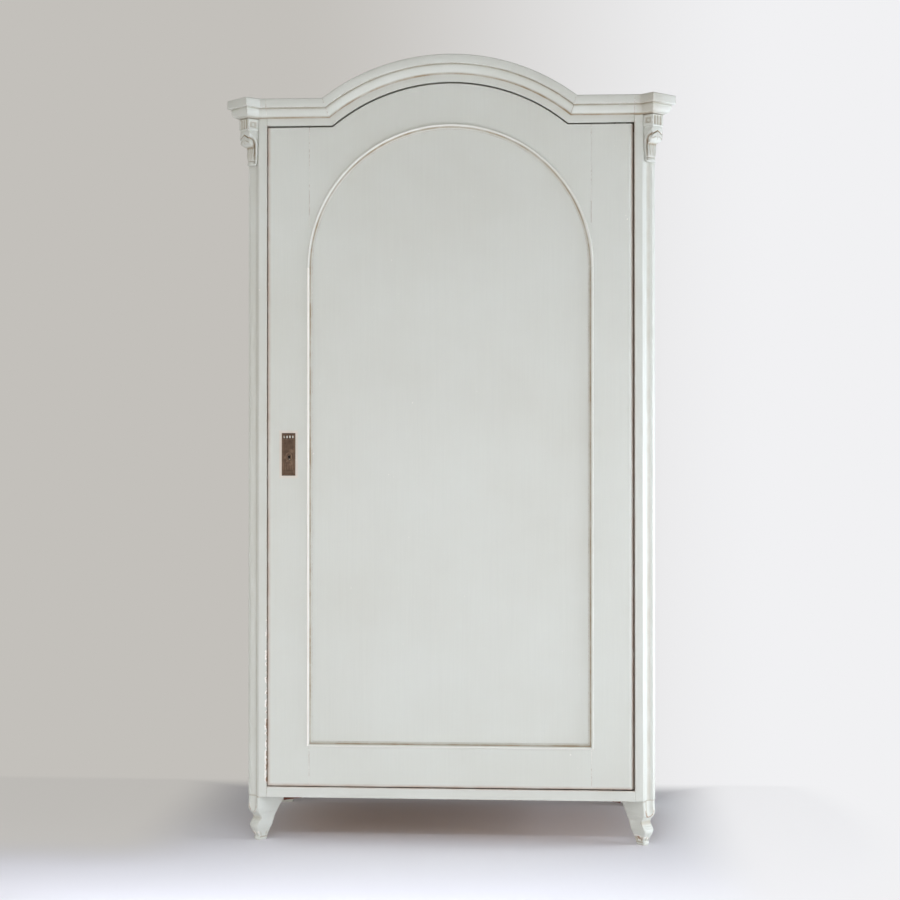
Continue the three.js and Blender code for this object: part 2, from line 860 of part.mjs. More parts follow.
// A round groove in both sides of the volute that leaves a raised rim and a raised eye
function scrollGrooves(centreY, centreZ, radius) {
  return [-1, 1].map((side) => {
    const outer = scrollDisc(radius);
    const inner = scrollDisc(radius - scrollGrooveWidth);
    const ring = cut(outer, inner);
    ring.translate(side * (corbelWidth / 2), centreY, centreZ);
    return ring;
  });
}

function scrollDisc(radius) {
  const disc = new THREE.CylinderGeometry(radius, radius, 2 * scrollGrooveDepth, roundSteps);
  disc.rotateZ(quarterTurn);
  return disc;
}

function corbelVolute(z0, z1) {
  const shape = new THREE.Shape();
  shape.moveTo(-fitGap, z0);
  shape.lineTo(-fitGap, z1);
  const points = voluteShares.map(([reachShare, heightShare]) => {
    return new THREE.Vector2(-reachShare * corbelReach, z0 + heightShare * (z1 - z0));
  });
  shape.lineTo(points[0].x, points[0].y);
  shape.splineThru(points.slice(1));
  const body = fromSide(shape, -corbelWidth / 2, corbelWidth / 2);
  return cut(body, ...scrollGrooves(-eyeShare * corbelReach, (z0 + z1) / 2, ringShare * (z1 - z0)));
}

function corbelLeaf(z0, z1) {
  const points = leafShares.map(([reachShare, heightShare]) => [
    -reachShare * leafReach, z0 + heightShare * (z1 - z0),
  ]);
  const body = fromSide([[-fitGap, z0], [-fitGap, z1], ...points], -corbelWidth / 2, corbelWidth / 2);
  const face = [
    [-leafTopWidth / 2, z1], [-leafTipWidth / 2, z0], [leafTipWidth / 2, z0], [leafTopWidth / 2, z1],
  ];
  return common(body, fromFront(face, -corbelReach, 0));
}

function corbel() {
  const top = crownBottom;
  const blockBottom = top - corbelBlockHeight;
  const voluteBottom = blockBottom - voluteHeight;
  const leafBottom = voluteBottom - leafHeight;
  const bottom = top - corbelHeight;
  const lip = box(-leafTipWidth / 2, leafTipWidth / 2, -lipReach, -fitGap, bottom, leafBottom);
  return join(
    corbelBlock(blockBottom, top),
    corbelVolute(voluteBottom, blockBottom),
    corbelLeaf(leafBottom, voluteBottom),
    lip,
  );
}

for (const [word, side] of sides) {
  const mesh = add(cabinet, `corbel_${word}`, corbel(), painted);
  mesh.position.set(side * cantMiddleX, cantMiddleY, 0);
  mesh.rotation.z = side * quarterTurn / 2;
}

// Pivot hinges: a plate with a pin let into each end of the door, a plate with a hole in the frame

function socketPlateOutline(clearance) {
  return [
    [pivotX - socketPlateReach - clearance, pivotY - pivotPlateWidth / 2 - clearance],
    [pivotX + socketPlateEnd + clearance, pivotY - pivotPlateWidth / 2 - clearance],
    [pivotX + socketPlateEnd + clearance, pivotY + pivotPlateWidth / 2 + clearance],
    [pivotX - socketPlateReach - clearance, pivotY + pivotPlateWidth / 2 + clearance],
  ];
}

function socketPlateRoom(z0, z1) {
  return fromPlan(socketPlateOutline(fitGap), z0, z1);
}

function socketPlate(z0) {
  return cut(fromPlan(socketPlateOutline(0), z0, z0 + pivotPlateThickness),
    uprightCylinder(pivotRadius + fitGap, pivotX, pivotY, z0 - overrun, z0 + pivotPlateThickness + overrun));
}

function pivotPlateBlank(clearance, z0, z1) {
  return join(
    box(pivotX - pivotPlateLength - clearance, pivotX,
      pivotY - pivotPlateWidth / 2 - clearance, pivotY + pivotPlateWidth / 2 + clearance, z0, z1),
    uprightCylinder(pivotPlateWidth / 2 + clearance, pivotX, pivotY, z0, z1),
  );
}

add(cabinet, 'pivot_socket_bottom', socketPlate(railTop - pivotPlateThickness), iron);
add(cabinet, 'pivot_socket_top', socketPlate(friezeBottom), iron);

addToDoor('pivot_plate_bottom', join(
  pivotPlateBlank(0, doorBottom, doorBottom + pivotPlateThickness),
  uprightCylinder(collarRadius, pivotX, pivotY, railTop + fitGap, doorBottom + pivotPlateThickness),
  uprightCylinder(pivotRadius, pivotX, pivotY, railTop - socketDepth + doorGap, railTop + doorGap),
), iron);
addToDoor('pivot_plate_top', join(
  pivotPlateBlank(0, doorTop - pivotPlateThickness, doorTop),
  uprightCylinder(pivotRadius, pivotX, pivotY, doorTop - pivotPlateThickness, doorTop + pivotLength),
), iron);

// Door frame

const spandrelTurn = spandrelSteps * Math.PI / panelArchSteps;
const spandrelTop = springZ + frameHalf * Math.sin(spandrelTurn);

// The round head of the panel opening grown by a margin, between two angles from the top
function headArc(grow, fromAngle, toAngle, steps) {
  return arcAbout(springZ, frameHalf + grow, fromAngle, toAngle, steps);
}

// The panel's outline, grown or shrunk by a margin on every side
function panelOutline(grow) {
  return [
    [frameHalf + grow, frameBottom - grow],
    ...headArc(grow, quarterTurn, -quarterTurn, panelArchSteps),
    [-frameHalf - grow, frameBottom - grow],
  ];
}

function panelGroove() {
  return fromFront(panelOutline(grooveDepth), panelRecess - fitGap, panelRecess + panelThickness + fitGap);
}

// The shoulder of wood on a stile that carries the first part of the arch
function spandrel(side) {
  const arc = headArc(0, quarterTurn, quarterTurn - spandrelTurn, spandrelSteps);
  const deep = frameHalf + mouldingLap;
  const points = [...arc, [deep, spandrelTop], [deep, springZ]];
  return fromFront(mirrored(side, points), 0, doorThickness);
}

function hingeStile() {
  const rounded = new THREE.Shape();
  rounded.moveTo(frameHalf, 0);
  rounded.lineTo(pivotX, 0);
  rounded.absarc(pivotX, pivotY, doorThickness / 2, -quarterTurn, quarterTurn, false);
  rounded.lineTo(frameHalf, doorThickness);
  const points = rounded.getPoints(roundSteps).map(({ x, y }) => [x, y]);
  const blank = join(fromPlan(points, doorBottom, doorTop), spandrel(1));
  return cut(blank, panelGroove(),
    pivotPlateBlank(fitGap, doorBottom - overrun, doorBottom + pivotPlateThickness),
    pivotPlateBlank(fitGap, doorTop - pivotPlateThickness, doorTop + overrun));
}

function keyholeOutline(grow) {
  const shape = new THREE.Shape();
  const half = keyholeSlotWidth / 2 + grow;
  const radius = keyholeRadius + grow;
  const turn = Math.asin(half / radius);
  shape.moveTo(keyholeX + half, keyholeZ - keyholeSlotDrop - grow);
  shape.absarc(keyholeX, keyholeZ, radius, turn - quarterTurn, 3 * quarterTurn - turn, false);
  shape.lineTo(keyholeX - half, keyholeZ - keyholeSlotDrop - grow);
  return shape.getPoints(roundSteps / 2).map(({ x, y }) => [x, y]);
}

function keyholeTool(grow, y0, y1) {
  return fromFront(keyholeOutline(grow), y0, y1);
}

const caseX0 = forendThickness - doorHalf;
const caseX1 = caseX0 + caseWidth;
const caseZ0 = keyholeZ - caseBelowKey;
const caseZ1 = keyholeZ + caseAboveKey;
const caseBackY = doorThickness - coverThickness;

// The plate on the edge of the door that the bolt comes out of
function forend(clearance, backY) {
  return box(-doorHalf - clearance, caseX0 + clearance, doorThickness - forendWidth - clearance, backY,
    caseZ0 - forendOverhang - clearance, caseZ1 + forendOverhang + clearance);
}

function lockStile() {
  const blank = join(box(-doorHalf, -frameHalf, 0, doorThickness, doorBottom, doorTop), spandrel(-1));
  const caseRoom = box(caseX0 - fitGap, caseX1 + fitGap, caseFrontY - fitGap, doorThickness + overrun,
    caseZ0 - fitGap, caseZ1 + fitGap);
  return cut(blank, panelGroove(), caseRoom, forend(fitGap, doorThickness + overrun),
    keyholeTool(fitGap, -overrun, caseFrontY + overrun));
}

function doorTopRail() {
  const turn = quarterTurn - spandrelTurn;
  const steps = panelArchSteps - 2 * spandrelSteps;
  const outline = [
    ...archedLine(frameHalf, doorTop, archRadius),
    [frameHalf, spandrelTop],
    ...headArc(0, turn, -turn, steps),
    [-frameHalf, spandrelTop],
  ];
  return cut(fromFront(outline, 0, doorThickness), panelGroove());
}

function doorBottomRail() {
  return cut(wideBox(frameHalf, 0, doorThickness, doorBottom, frameBottom), panelGroove());
}

addToDoor('door_stile_lock', lockStile(), painted);
addToDoor('door_stile_hinge', hingeStile(), painted);
addToDoor('door_rail_top', doorTopRail(), painted);
addToDoor('door_rail_bottom', doorBottomRail(), painted);
addToDoor('door_panel',
  fromFront(panelOutline(grooveDepth - fitGap), panelRecess, panelRecess + panelThickness), painted);

// Planted moulding: a bead over the joint of frame and panel with a hollow down to the panel

// The bead as shares of its width and rise, and the hollow as shares of its width and its fall
const beadShares = [[0, 0.35], [0.2, 0.85], [0.5, 1], [0.8, 0.8], [1, 0.15]];
const hollowShares = [[0.25, 0.35], [0.6, 0.65], [1, 0.8]];

// Its section from the outer edge inwards, as distance in from the edge and depth behind the face
function mouldingSection() {
  const hollowWidth = mouldingWidth - beadWidth;
  return [
    [0, 0],
    ...beadShares.map(([across, rise]) => [across * beadWidth, -rise * mouldingRise]),
    ...hollowShares.map(([across, fall]) => [beadWidth + across * hollowWidth, fall * panelRecess]),
    [mouldingWidth, panelRecess],
    [mouldingLap + fitGap, panelRecess],
    [mouldingLap + fitGap, 0],
  ];
}

function mouldingArch() {
  const rings = [];
  for (let i = 0; i <= panelArchSteps; i += 1) {
    const angle = Math.PI * i / panelArchSteps;
    rings.push(mouldingSection().map(([inset, y]) => {
      const radius = mouldingHalf - inset;
      return [radius * Math.cos(angle), y, springZ + radius * Math.sin(angle)];
    }));
  }
  return loft(rings);
}

function mouldingUpright(side) {
  const ring = (zAt) => mouldingSection().map(([inset, y]) => [side * (mouldingHalf - inset), y, zAt(inset)]);
  return loft([ring((inset) => mouldingBottom + inset), ring(() => springZ)]);
}

function mouldingFoot() {
  const ring = (side) => mouldingSection().map(([inset, y]) => [
    side * (mouldingHalf - inset - 2 * fitGap), y, mouldingBottom + inset,
  ]);
  return loft([ring(-1), ring(1)]);
}

addToDoor('moulding_arch', mouldingArch(), painted);
for (const [word, side] of sides) {
  addToDoor(`moulding_${word}`, mouldingUpright(side), painted);
}
addToDoor('moulding_bottom', mouldingFoot(), painted);

// Lock and escutcheon

function escutcheon() {
  const middleX = escutcheonInset - doorHalf;
  const middleZ = doorBottom + escutcheonLift;
  const plate = box(middleX - escutcheonWidth / 2, middleX + escutcheonWidth / 2, -escutcheonThickness, 0,
    middleZ - escutcheonHeight / 2, middleZ + escutcheonHeight / 2);
  return cut(plate, keyholeTool(0, -escutcheonThickness - overrun, overrun));
}

function lockCase() {
  const shell = box(caseX0, caseX1, caseFrontY, caseBackY, caseZ0, caseZ1);
  const room = box(caseX0 + caseWall, caseX1 - caseWall, caseFrontY + caseWall, caseBackY + overrun,
    caseZ0 + caseWall, caseZ1 - caseWall);
  return cut(
    join(cut(shell, room), forend(0, doorThickness)),
    boltHole(-doorHalf - overrun, caseX0 + caseWall + overrun),
    keyholeTool(0, caseFrontY - overrun, caseFrontY + caseWall + fitGap),
  );
}

function lockCover() {
  return box(caseX0 + fitGap, caseX1, caseBackY, doorThickness, caseZ0, caseZ1);
}

function lockBolt() {
  const x0 = boltSetback - doorHalf;
  const headX1 = x0 + boltHeadLength;
  const tailX1 = headX1 + boltTailLength;
  const outline = [
    [x0, boltBottom],
    [keyholeX - talonWidth / 2, boltBottom],
    [keyholeX - talonWidth / 2, boltBottom + talonDepth],
    [keyholeX + talonWidth / 2, boltBottom + talonDepth],
    [keyholeX + talonWidth / 2, boltBottom],
    [tailX1, boltBottom],
    [tailX1, boltBottom + boltTailHeight],
    [headX1, boltBottom + boltTailHeight],
    [headX1, boltBottom + boltHeadHeight],
    [x0, boltBottom + boltHeadHeight],
  ];
  return fromFront(outline, boltFrontY, boltFrontY + boltThickness);
}

// The leaf spring's underside from the end wall of the case, as shares of its run and its lift
const springShares = [[0, 1], [0.25, 0.85], [0.6, 0.3], [0.85, 0], [1, 0.06]];

// A leaf spring fixed to the end wall of the case, bearing down on the bolt's tail
function boltSpring() {
  const wallX = caseX1 - caseWall;
  const lowZ = boltBottom + boltTailHeight + fitGap;
  const lower = springShares.map(([run, lift]) => [wallX - run * springRun, lowZ + lift * springLift]);
  const upper = lower.map(([x, z]) => [x, z + springThickness]).reverse();
  const middleY = boltFrontY + boltThickness / 2;
  return fromFront([...lower, ...upper], middleY - springWidth / 2, middleY + springWidth / 2);
}

addToDoor('escutcheon_plate', escutcheon(), agedBrass);
addToDoor('lock_case', lockCase(), iron);
addToDoor('lock_cover', lockCover(), iron);
addToDoor('bolt_spring', boltSpring(), iron);
addToDoor('lock_bolt', lockBolt(), iron, lockSlide);

// Shelves and the battens that carry them

function shelfOutline() {
  const wide = sideInnerX - shelfSideGap;
  const narrow = openingHalf - shelfSideGap;
  const half = [
    [wide, postDepth + shelfSetback],
    [wide, rearPostY - shelfSideGap],
    [narrow, rearPostY - shelfSideGap],
    [narrow, backFaceY - shelfSideGap],
  ];
  return [...half, ...mirrored(-1, half).reverse()];
}

for (let i = 1; i <= shelfCount; i += 1) {
  const clear = (topBoardBottom - railTop - shelfCount * shelfThickness) / (shelfCount + 1);
  const z0 = railTop + i * clear + (i - 1) * shelfThickness;
  add(cabinet, `shelf_${i}`, fromPlan(shelfOutline(), z0, z0 + shelfThickness), bareWood);
  for (const [word, side] of sides) {
    add(cabinet, `shelf_batten_${i}_${word}`,
      sideBox(side, sideInnerX - battenWidth, sideInnerX, postDepth, rearPostY,
        z0 - battenHeight, z0), bareWood);
  }
}

// The origin lies under the middle of the cabinet's overall depth, capitals included
const frontReach = -Math.min(...cornerPlan(crownReach).map(([, y]) => y));
cabinet.position.y = (frontReach - bodyDepth) / 2;

export default cabinet;
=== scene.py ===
import json
import math

import bmesh
import bpy
from mathutils import Matrix, Vector, noise

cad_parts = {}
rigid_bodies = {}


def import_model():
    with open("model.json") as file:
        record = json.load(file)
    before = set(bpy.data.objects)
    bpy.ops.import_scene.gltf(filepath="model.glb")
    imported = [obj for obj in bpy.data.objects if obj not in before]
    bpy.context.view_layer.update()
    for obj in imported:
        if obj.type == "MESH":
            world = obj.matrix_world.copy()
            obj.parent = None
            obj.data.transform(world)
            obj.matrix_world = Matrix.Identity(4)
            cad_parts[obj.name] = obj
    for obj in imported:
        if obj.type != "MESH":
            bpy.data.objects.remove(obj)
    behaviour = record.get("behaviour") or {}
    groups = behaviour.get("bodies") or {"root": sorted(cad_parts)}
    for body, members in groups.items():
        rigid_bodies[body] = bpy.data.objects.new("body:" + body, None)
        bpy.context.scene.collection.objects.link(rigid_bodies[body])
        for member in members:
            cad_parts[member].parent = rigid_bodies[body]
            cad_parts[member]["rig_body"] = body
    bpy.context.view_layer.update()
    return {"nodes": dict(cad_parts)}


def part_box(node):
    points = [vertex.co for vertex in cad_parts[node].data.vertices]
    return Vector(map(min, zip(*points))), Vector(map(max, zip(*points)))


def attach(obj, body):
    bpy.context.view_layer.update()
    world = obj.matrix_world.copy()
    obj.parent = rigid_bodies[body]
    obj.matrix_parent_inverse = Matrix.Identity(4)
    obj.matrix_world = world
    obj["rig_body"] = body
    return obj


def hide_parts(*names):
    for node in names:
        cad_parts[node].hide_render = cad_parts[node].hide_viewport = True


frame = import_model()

bl_info = {
    "name": "Bonnetiere cabinet",
    "version": (1, 0, 0),
    "blender": (4, 5, 0),
    "location": "View3D > Sidebar > Cabinet",
    "description": "Dresses a painted cabinet: cornice, carving, door, lock, nails and finishes",
    "category": "Object",
}

NODES = frame["nodes"]
MM = 0.001
SIDES = (("left", -1), ("right", 1))


def shade(code):
    """Turns an sRGB hex colour into linear red, green and blue."""
    channels = [int(code[i:i + 2], 16) / 255 for i in (1, 3, 5)]
    return tuple(c / 12.92 if c <= 0.04045 else ((c + 0.055) / 1.055) ** 2.4 for c in channels)


def low(node):
    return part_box(node)[0]


def high(node):
    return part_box(node)[1]


def clamp(value, least=0.0, most=1.0):
    return max(least, min(most, value))


def between(start, end, share):
    return start + (end - start) * share


def ramp(value, start, end):
    """Rises smoothly from 0 at start to 1 at end."""
    t = clamp((value - start) / (end - start))
    return t * t * (3 - 2 * t)


def bump(value, centre, width):
    """A smooth hump of height 1 about a centre."""
    return ramp(1 - abs(value - centre) / width, 0.0, 1.0)


def window(value, start, full, ebb, end):
    """Rises from 0 at start to 1 at full, and falls from ebb back to 0 at end."""
    return ramp(value, start, full) * (1 - ramp(value, ebb, end))


# Lines of the frame that several pieces share, in metres
FRONT_Y = low("base_rail_front").y
OPENING_HALF = high("base_rail_front").x
HALF_WIDTH, POST_BACK_Y, CROWN_FOOT_Z = high("post_front_right")
BACK_Y = high("post_rear_right").y
CROWN_TOP_Z = high("capital_right").z
CANT = HALF_WIDTH - 476 * MM
CANT_MIDDLE = Vector((HALF_WIDTH - CANT / 2, FRONT_Y + CANT / 2, 0))
FIT = 0.3 * MM
# The crown's arch passes through its top and through its ends, a rise lower down
CROWN_RISE = high("crown_arch").z - CROWN_TOP_Z
CROWN_OUTER_RADIUS = ((high("crown_arch").x + FIT) ** 2 + CROWN_RISE ** 2) / (2 * CROWN_RISE)
ARCH_CENTRE_Z = high("crown_arch").z - CROWN_OUTER_RADIUS
CROWN_FOOT_RADIUS = CROWN_OUTER_RADIUS - (CROWN_TOP_Z - CROWN_FOOT_Z)
DOOR_HALF = high("door_stile_hinge").x
DOOR_BOTTOM = low("door_rail_bottom").z
DOOR_SHOULDER = high("door_stile_lock").z
DOOR_TOP = high("door_rail_top").z
DOOR_MIDDLE_Z = (DOOR_BOTTOM + DOOR_TOP) / 2
MOULDING_HALF, _, SPRING_Z = high("moulding_right")
MOULDING_FOOT_Z = low("moulding_bottom").z
PLATE_LOW, PLATE_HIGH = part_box("escutcheon_plate")
# The corbel's block in millimetres: half its width, how far it stands out and its height
BLOCK_HALF, BLOCK_REACH, BLOCK_HEIGHT = 19, 31, 28


# Sizes and colours that a user would change

def number(name, description, default, **more):
    return bpy.props.FloatProperty(name=name, description=description, default=default, **more)


def length(name, description, millimetres):
    return number(name, description, millimetres * MM, unit="LENGTH")


def colour(name, description, code):
    return bpy.props.FloatVectorProperty(
        name=name, description=description, subtype="COLOR", default=shade(code))


class StageSizes(bpy.types.PropertyGroup):
    lens: number("Lens", "Focal length on a 36 mm sensor", 71.1, min=1)
    distance: length("Distance", "From the camera to the front of the posts", 4400)
    eye_height: length("Eye height", "Height of the camera above the floor", 1007)
    aim_side: length("Aim side", "How far right of the cabinet's middle the camera looks", 1.1)
    tilt: number("Tilt", "How far the camera looks up", math.radians(0.5), subtype="ANGLE")
    shift: number("Shift", "Shift of the lens, in widths of the picture", -0.032)
    turn: number(
        "Turn", "How far the camera stands to the right", math.radians(3.7), subtype="ANGLE")
    window_power: number("Window", "Power of the wide soft light on the right, in watts", 73)
    front_power: number("Front", "Power of the soft light from the front, in watts", 68)
    reflector_power: number("Reflector", "Power of the soft light from the left, in watts", 12)
    low_power: number("Low", "Power of the soft light on the floor, in watts", 28)
    sky: number("Sky", "Strength of the even light from all round", 0.36)
    # the darker backdrop on the left is painted shade, the paler one on the right painted light
    backdrop: colour("Backdrop", "Colour behind the cabinet on the left", "#C3C0BB")
    backdrop_right: colour("Backdrop right", "Colour behind the cabinet on the right", "#F1F1F3")
    floor: colour("Floor", "Colour of the floor", "#F2F1F5")


class PaintFinish(bpy.types.PropertyGroup):
    paint: colour("Paint", "Grey white eggshell paint", "#D3D6CF")
    paint_shadow: colour("Paint drift", "The same paint where it has dulled", "#CFD1C9")
    undercoat: colour("Undercoat", "White ground under the paint", "#F7F4ED")
    bare: colour("Bare edge", "Old wood where paint has rubbed off", "#8F6F52")
    # the grime colour also paints shade in corners, flutes and undercuts
    grime: colour("Grime", "Wax and dust left in hollows", "#94805F")
    gap_tint: colour("Gap tint", "Rubbed paint beside the gap round the door", "#A98872")
    plate_tint: colour("Plate tint", "Rubbed paint round the lock plate", "#E0CFC0")
    brush_width: length("Brush mark", "Width of one bristle mark", 2.5)
    wear_width: length("Rubbed edge", "How far wear reaches from an arris", 2.2)
    # grime_reach is how far the ambient occlusion looks, so how far the painted corner shade
    # reaches
    grime_reach: length("Grime reach", "How far grime reaches out of a corner", 6)
    seam_reach: length("Gap tint reach", "How far the gap's tint reaches round the door", 7)


class WoodFinish(bpy.types.PropertyGroup):
    early: colour("Early wood", "Pale part of a growth ring", "#BF9A6C")
    late: colour("Late wood", "Dark part of a growth ring", "#94693F")
    knot: colour("Knot", "Heart of a knot", "#5A3A22")
    # the wedges' stain is made dark enough to paint in the shade under the rail too
    stain: colour("Stain", "Red brown stain on the wedges under the rail", "#8A5A58")
    ring_width: length("Grain width", "Spacing of the grain lines", 5)


class MetalFinish(bpy.types.PropertyGroup):
    brass: colour("Brass", "Rubbed brass on the raised parts", "#705D4E")
    patina: colour("Patina", "Brown patina in the sunk parts", "#4B3C34")
    iron: colour("Iron", "Wrought iron under old oil", "#4E4A45")
    rust: colour("Rust", "Dry brown rust", "#6B4A33")


class CorniceSizes(bpy.types.PropertyGroup):
    foot_reach: length("Foot", "Reach of the moulding where it meets the frieze", 3)
    ovolo_height: length("Ovolo height", "Height of the rounded lower member", 23)
    ovolo_reach: length("Ovolo reach", "Reach of the rounded lower member", 15)
    quirk: length("Quirk", "Depth and height of the groove between the members", 1.5)
    band_round: length("Top edge", "Radius of the worn top edge", 3)


class CarvingSizes(bpy.types.PropertyGroup):
    step: length("Carving step", "Distance between carved sections", 0.8)
    flute_depth: length("Block flute", "Depth of the flutes on the corbel's block", 3.2)
    reed_depth: length("Reed", "Depth between the reeds of the leaf", 2.4)
    rim_height: length("Scroll rim", "How far the scroll's rim stands up", 1.8)
    foot_flute_depth: length("Foot flute", "Depth of the hollow on the foot", 7)


class DoorSizes(bpy.types.PropertyGroup):
    easing: length("Easing", "Radius on the arrises of the frame", 1.2)
    door_easing: length("Door edge", "Radius round the outside of the door", 2.0)
    sag: length("Sag", "How far the lock side of the door has dropped", 1.7)
    swell: length("Swell", "How far the old door stands out past its drawn width", 1.2)


class LockSizes(bpy.types.PropertyGroup):
    relief: length("Relief", "Height of the stamped relief", 0.7)
    screw_head: length("Screw head", "Diameter of a screw head", 7)
    nail_head: length("Nail head", "Diameter of a nail head", 6)
    nail_spacing: length("Nail spacing", "Distance between nails", 95)


def sizes(group):
    return getattr(bpy.context.scene, f"cabinet_{group}")


# Meshes

SHARP, CARVED_SHARP, STAMPED_SHARP = (math.radians(angle) for angle in (32, 50, 60))


def new_object(name, data):
    made = bpy.data.objects.new(name, data)
    bpy.context.scene.collection.objects.link(made)
    return made


def from_bmesh(name, work):
    mesh = bpy.data.meshes.new(name)
    work.to_mesh(mesh)
    work.free()
    return new_object(name, mesh)


def smooth(piece, angle=SHARP):
    """Shades curved faces round and keeps arrises sharper than the angle."""
    piece.data.shade_smooth()
    piece.data.set_sharp_from_angle(angle=angle)


def skin(name, rings, marks=(), angle=SHARP):
    """A closed mesh through rings of as many points each, flat at both ends. After its place a
    point has one value for each of the marks, which the materials read as attributes."""
    count = len(rings[0])
    points = [point for ring in rings for point in ring]
    last = len(points) - count
    faces = [(a + i, a + j, a + count + j, a + count + i) for a in range(0, last, count)
             for i, j in zip(range(count), (*range(1, count), 0))]
    faces += [tuple(range(count))[::-1], tuple(range(last, len(points)))]
    mesh = bpy.data.meshes.new(name)
    mesh.from_pydata([point[:3] for point in points], [], faces)
    for column, attribute in enumerate(marks, 3):
        layer = mesh.attributes.new(attribute, "FLOAT", "POINT")
        layer.data.foreach_set("value", [point[column] for point in points])
    work = bmesh.new()
    work.from_mesh(mesh)
    bmesh.ops.recalc_face_normals(work, faces=work.faces)
    work.to_mesh(mesh)
    work.free()
    piece = new_object(name, mesh)
    smooth(piece, angle)
    return piece


def plain_mesh(holder):
    """The mesh of an object as its modifiers leave it."""
    bpy.context.view_layer.update()
    graph = bpy.context.evaluated_depsgraph_get()
    return bpy.data.meshes.new_from_object(holder.evaluated_get(graph))


def ease(piece, width):
    """Rounds the weighted edges and keeps the flats beside them flat in the shading."""
    easing = piece.modifiers.new("easing", "BEVEL")
    easing.width, easing.segments = width, 3
    easing.limit_method = "WEIGHT"
    easing.use_clamp_overlap = True
    mesh = plain_mesh(piece)
    piece.modifiers.clear()
    piece.data = mesh
    mesh.shade_smooth()
    around = [[] for _ in mesh.vertices]
    for polygon in mesh.polygons:
        for corner in polygon.vertices:
            around[corner].append(polygon)
    nearly_level = math.cos(math.radians(40))
    normals = []
    for polygon in mesh.polygons:
        for corner in polygon.vertices:
            total = Vector()
            for other in around[corner]:
                if other.normal.dot(polygon.normal) > nearly_level:
                    total += other.normal * (other.area / MM ** 2) ** 2
            normals.append(total.normalized())
    mesh.normals_split_custom_set(normals)


def eased_copy(node, width, wanted=None, move=None):
    """A copy of a CAD solid with its arrises eased where wanted says so."""
    work = bmesh.new()
    work.from_mesh(NODES[node].data)
    bmesh.ops.remove_doubles(work, verts=work.verts, dist=0.005 * MM)
    bmesh.ops.dissolve_limit(
        work, angle_limit=math.radians(0.4), verts=work.verts, edges=work.edges)
    weight = work.edges.layers.float.new("bevel_weight_edge")
    for edge in work.edges:
        sharp = edge.is_manifold and edge.calc_face_angle(0) > math.radians(34)
        if sharp and (wanted is None or all(wanted(v.co) for v in edge.verts)):
            edge[weight] = 1
    if move:
        for vert in work.verts:
            vert.co = move(vert.co)
    piece = from_bmesh(f"{node}_eased", work)
    ease(piece, width)
    return piece


def hang(piece, node, finish):
    """Puts a finished piece on the body of the CAD node that it stands for."""
    piece.data.materials.append(finish_named(finish))
    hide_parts(node)
    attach(piece, NODES[node]["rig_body"])


# Materials

MIX_A, MIX_B, MIXED = 6, 7, 2   # two inputs and the output of a colour mix
# Noise scales from the real size of the marks in millimetres. The specks are drawn coarser than
# real ones so that they show
DULLING, PATCHES, FLAKES, RUST, TARNISH, SPECKS = (
    1 / (size * MM) for size in (322.58, 41.667, 18.182, 11.111, 7.6923, 6.25))


def put(tree, kind, inputs=(), output=0, **settings):
    """Adds a node and gives one of its outputs. kind may end in its operation. Each input is a
    value or the output that it is linked to."""
    kind, _, operation = kind.partition(" ")
    new = tree.nodes.new(kind if "Node" in kind else f"ShaderNode{kind}")
    if operation:
        new.operation = operation
    for key, value in settings.items():
        setattr(new, key, value)
    for key, value in inputs.items() if isinstance(inputs, dict) else enumerate(inputs):
        socket = new.inputs[key]
        if isinstance(value, bpy.types.NodeSocket):
            tree.links.new(value, socket)
        else:
            socket.default_value = (*value, 1.0) if socket.type == "RGBA" else value
    return new.outputs[output] if new.outputs else None


def start(holder, coordinates="Object"):
    """The emptied node tree of a material or a world, and its coordinates."""
    holder.use_nodes = True
    holder.node_tree.nodes.clear()
    return holder.node_tree, put(holder.node_tree, "TexCoord", output=coordinates)


def cover(tree, relief, sockets):
    """Ends a material with its relief, as inputs of a bump, and the sockets of its surface."""
    surface = put(tree, "BsdfPrincipled", {**sockets, "Normal": put(tree, "Bump", relief)})
    put(tree, "OutputMaterial", [surface])


def along(tree, coords, grain, across, length):
    """Coordinates drawn out along the grain, in widths of one mark."""
    scale = [1 / across] * 3
    scale["XYZ".index(grain)] = 1 / length
    return put(tree, "Mapping", {"Vector": coords, "Scale": scale})


def seam_gap(tree, coords):
    """How far a point lies from the sides and the foot of the door, in metres, and above its
    shoulders how high."""
    x, _, z = put(tree, "SeparateXYZ", [coords]).node.outputs
    beside = put(tree, "Math SUBTRACT", (put(tree, "Math ABSOLUTE", [x]), DOOR_HALF))
    below = put(tree, "Math SUBTRACT", (DOOR_BOTTOM, z))
    gap = put(tree, "Math ABSOLUTE", [put(tree, "Math MAXIMUM", (beside, below))])
    return put(tree, "Math MAXIMUM", (gap, put(tree, "Math SUBTRACT", (z, DOOR_SHOULDER))))


def flaked_edge(tree, coords, chips):
    """Where paint has flaked off an arris: 0 to 1, stronger towards the foot."""
    arris, foot, top = chips
    x, _, z = put(tree, "SeparateXYZ", [coords]).node.outputs
    off = put(tree, "Math ABSOLUTE", [put(tree, "Math SUBTRACT", (x, arris))])
    noisy = put(tree, "TexNoise", {"Vector": coords, "Scale": FLAKES, "Detail": 1.0})
    flaked = put(tree, "Math GREATER_THAN", (z, foot))
    for limits in ((off, 7 * MM, 1 * MM), (z, top, foot + 0.25), (noisy, 0.42, 0.52, 0.1, 1.0)):
        flaked = put(tree, "Math MULTIPLY", (flaked, put(tree, "MapRange", limits)))
    return flaked


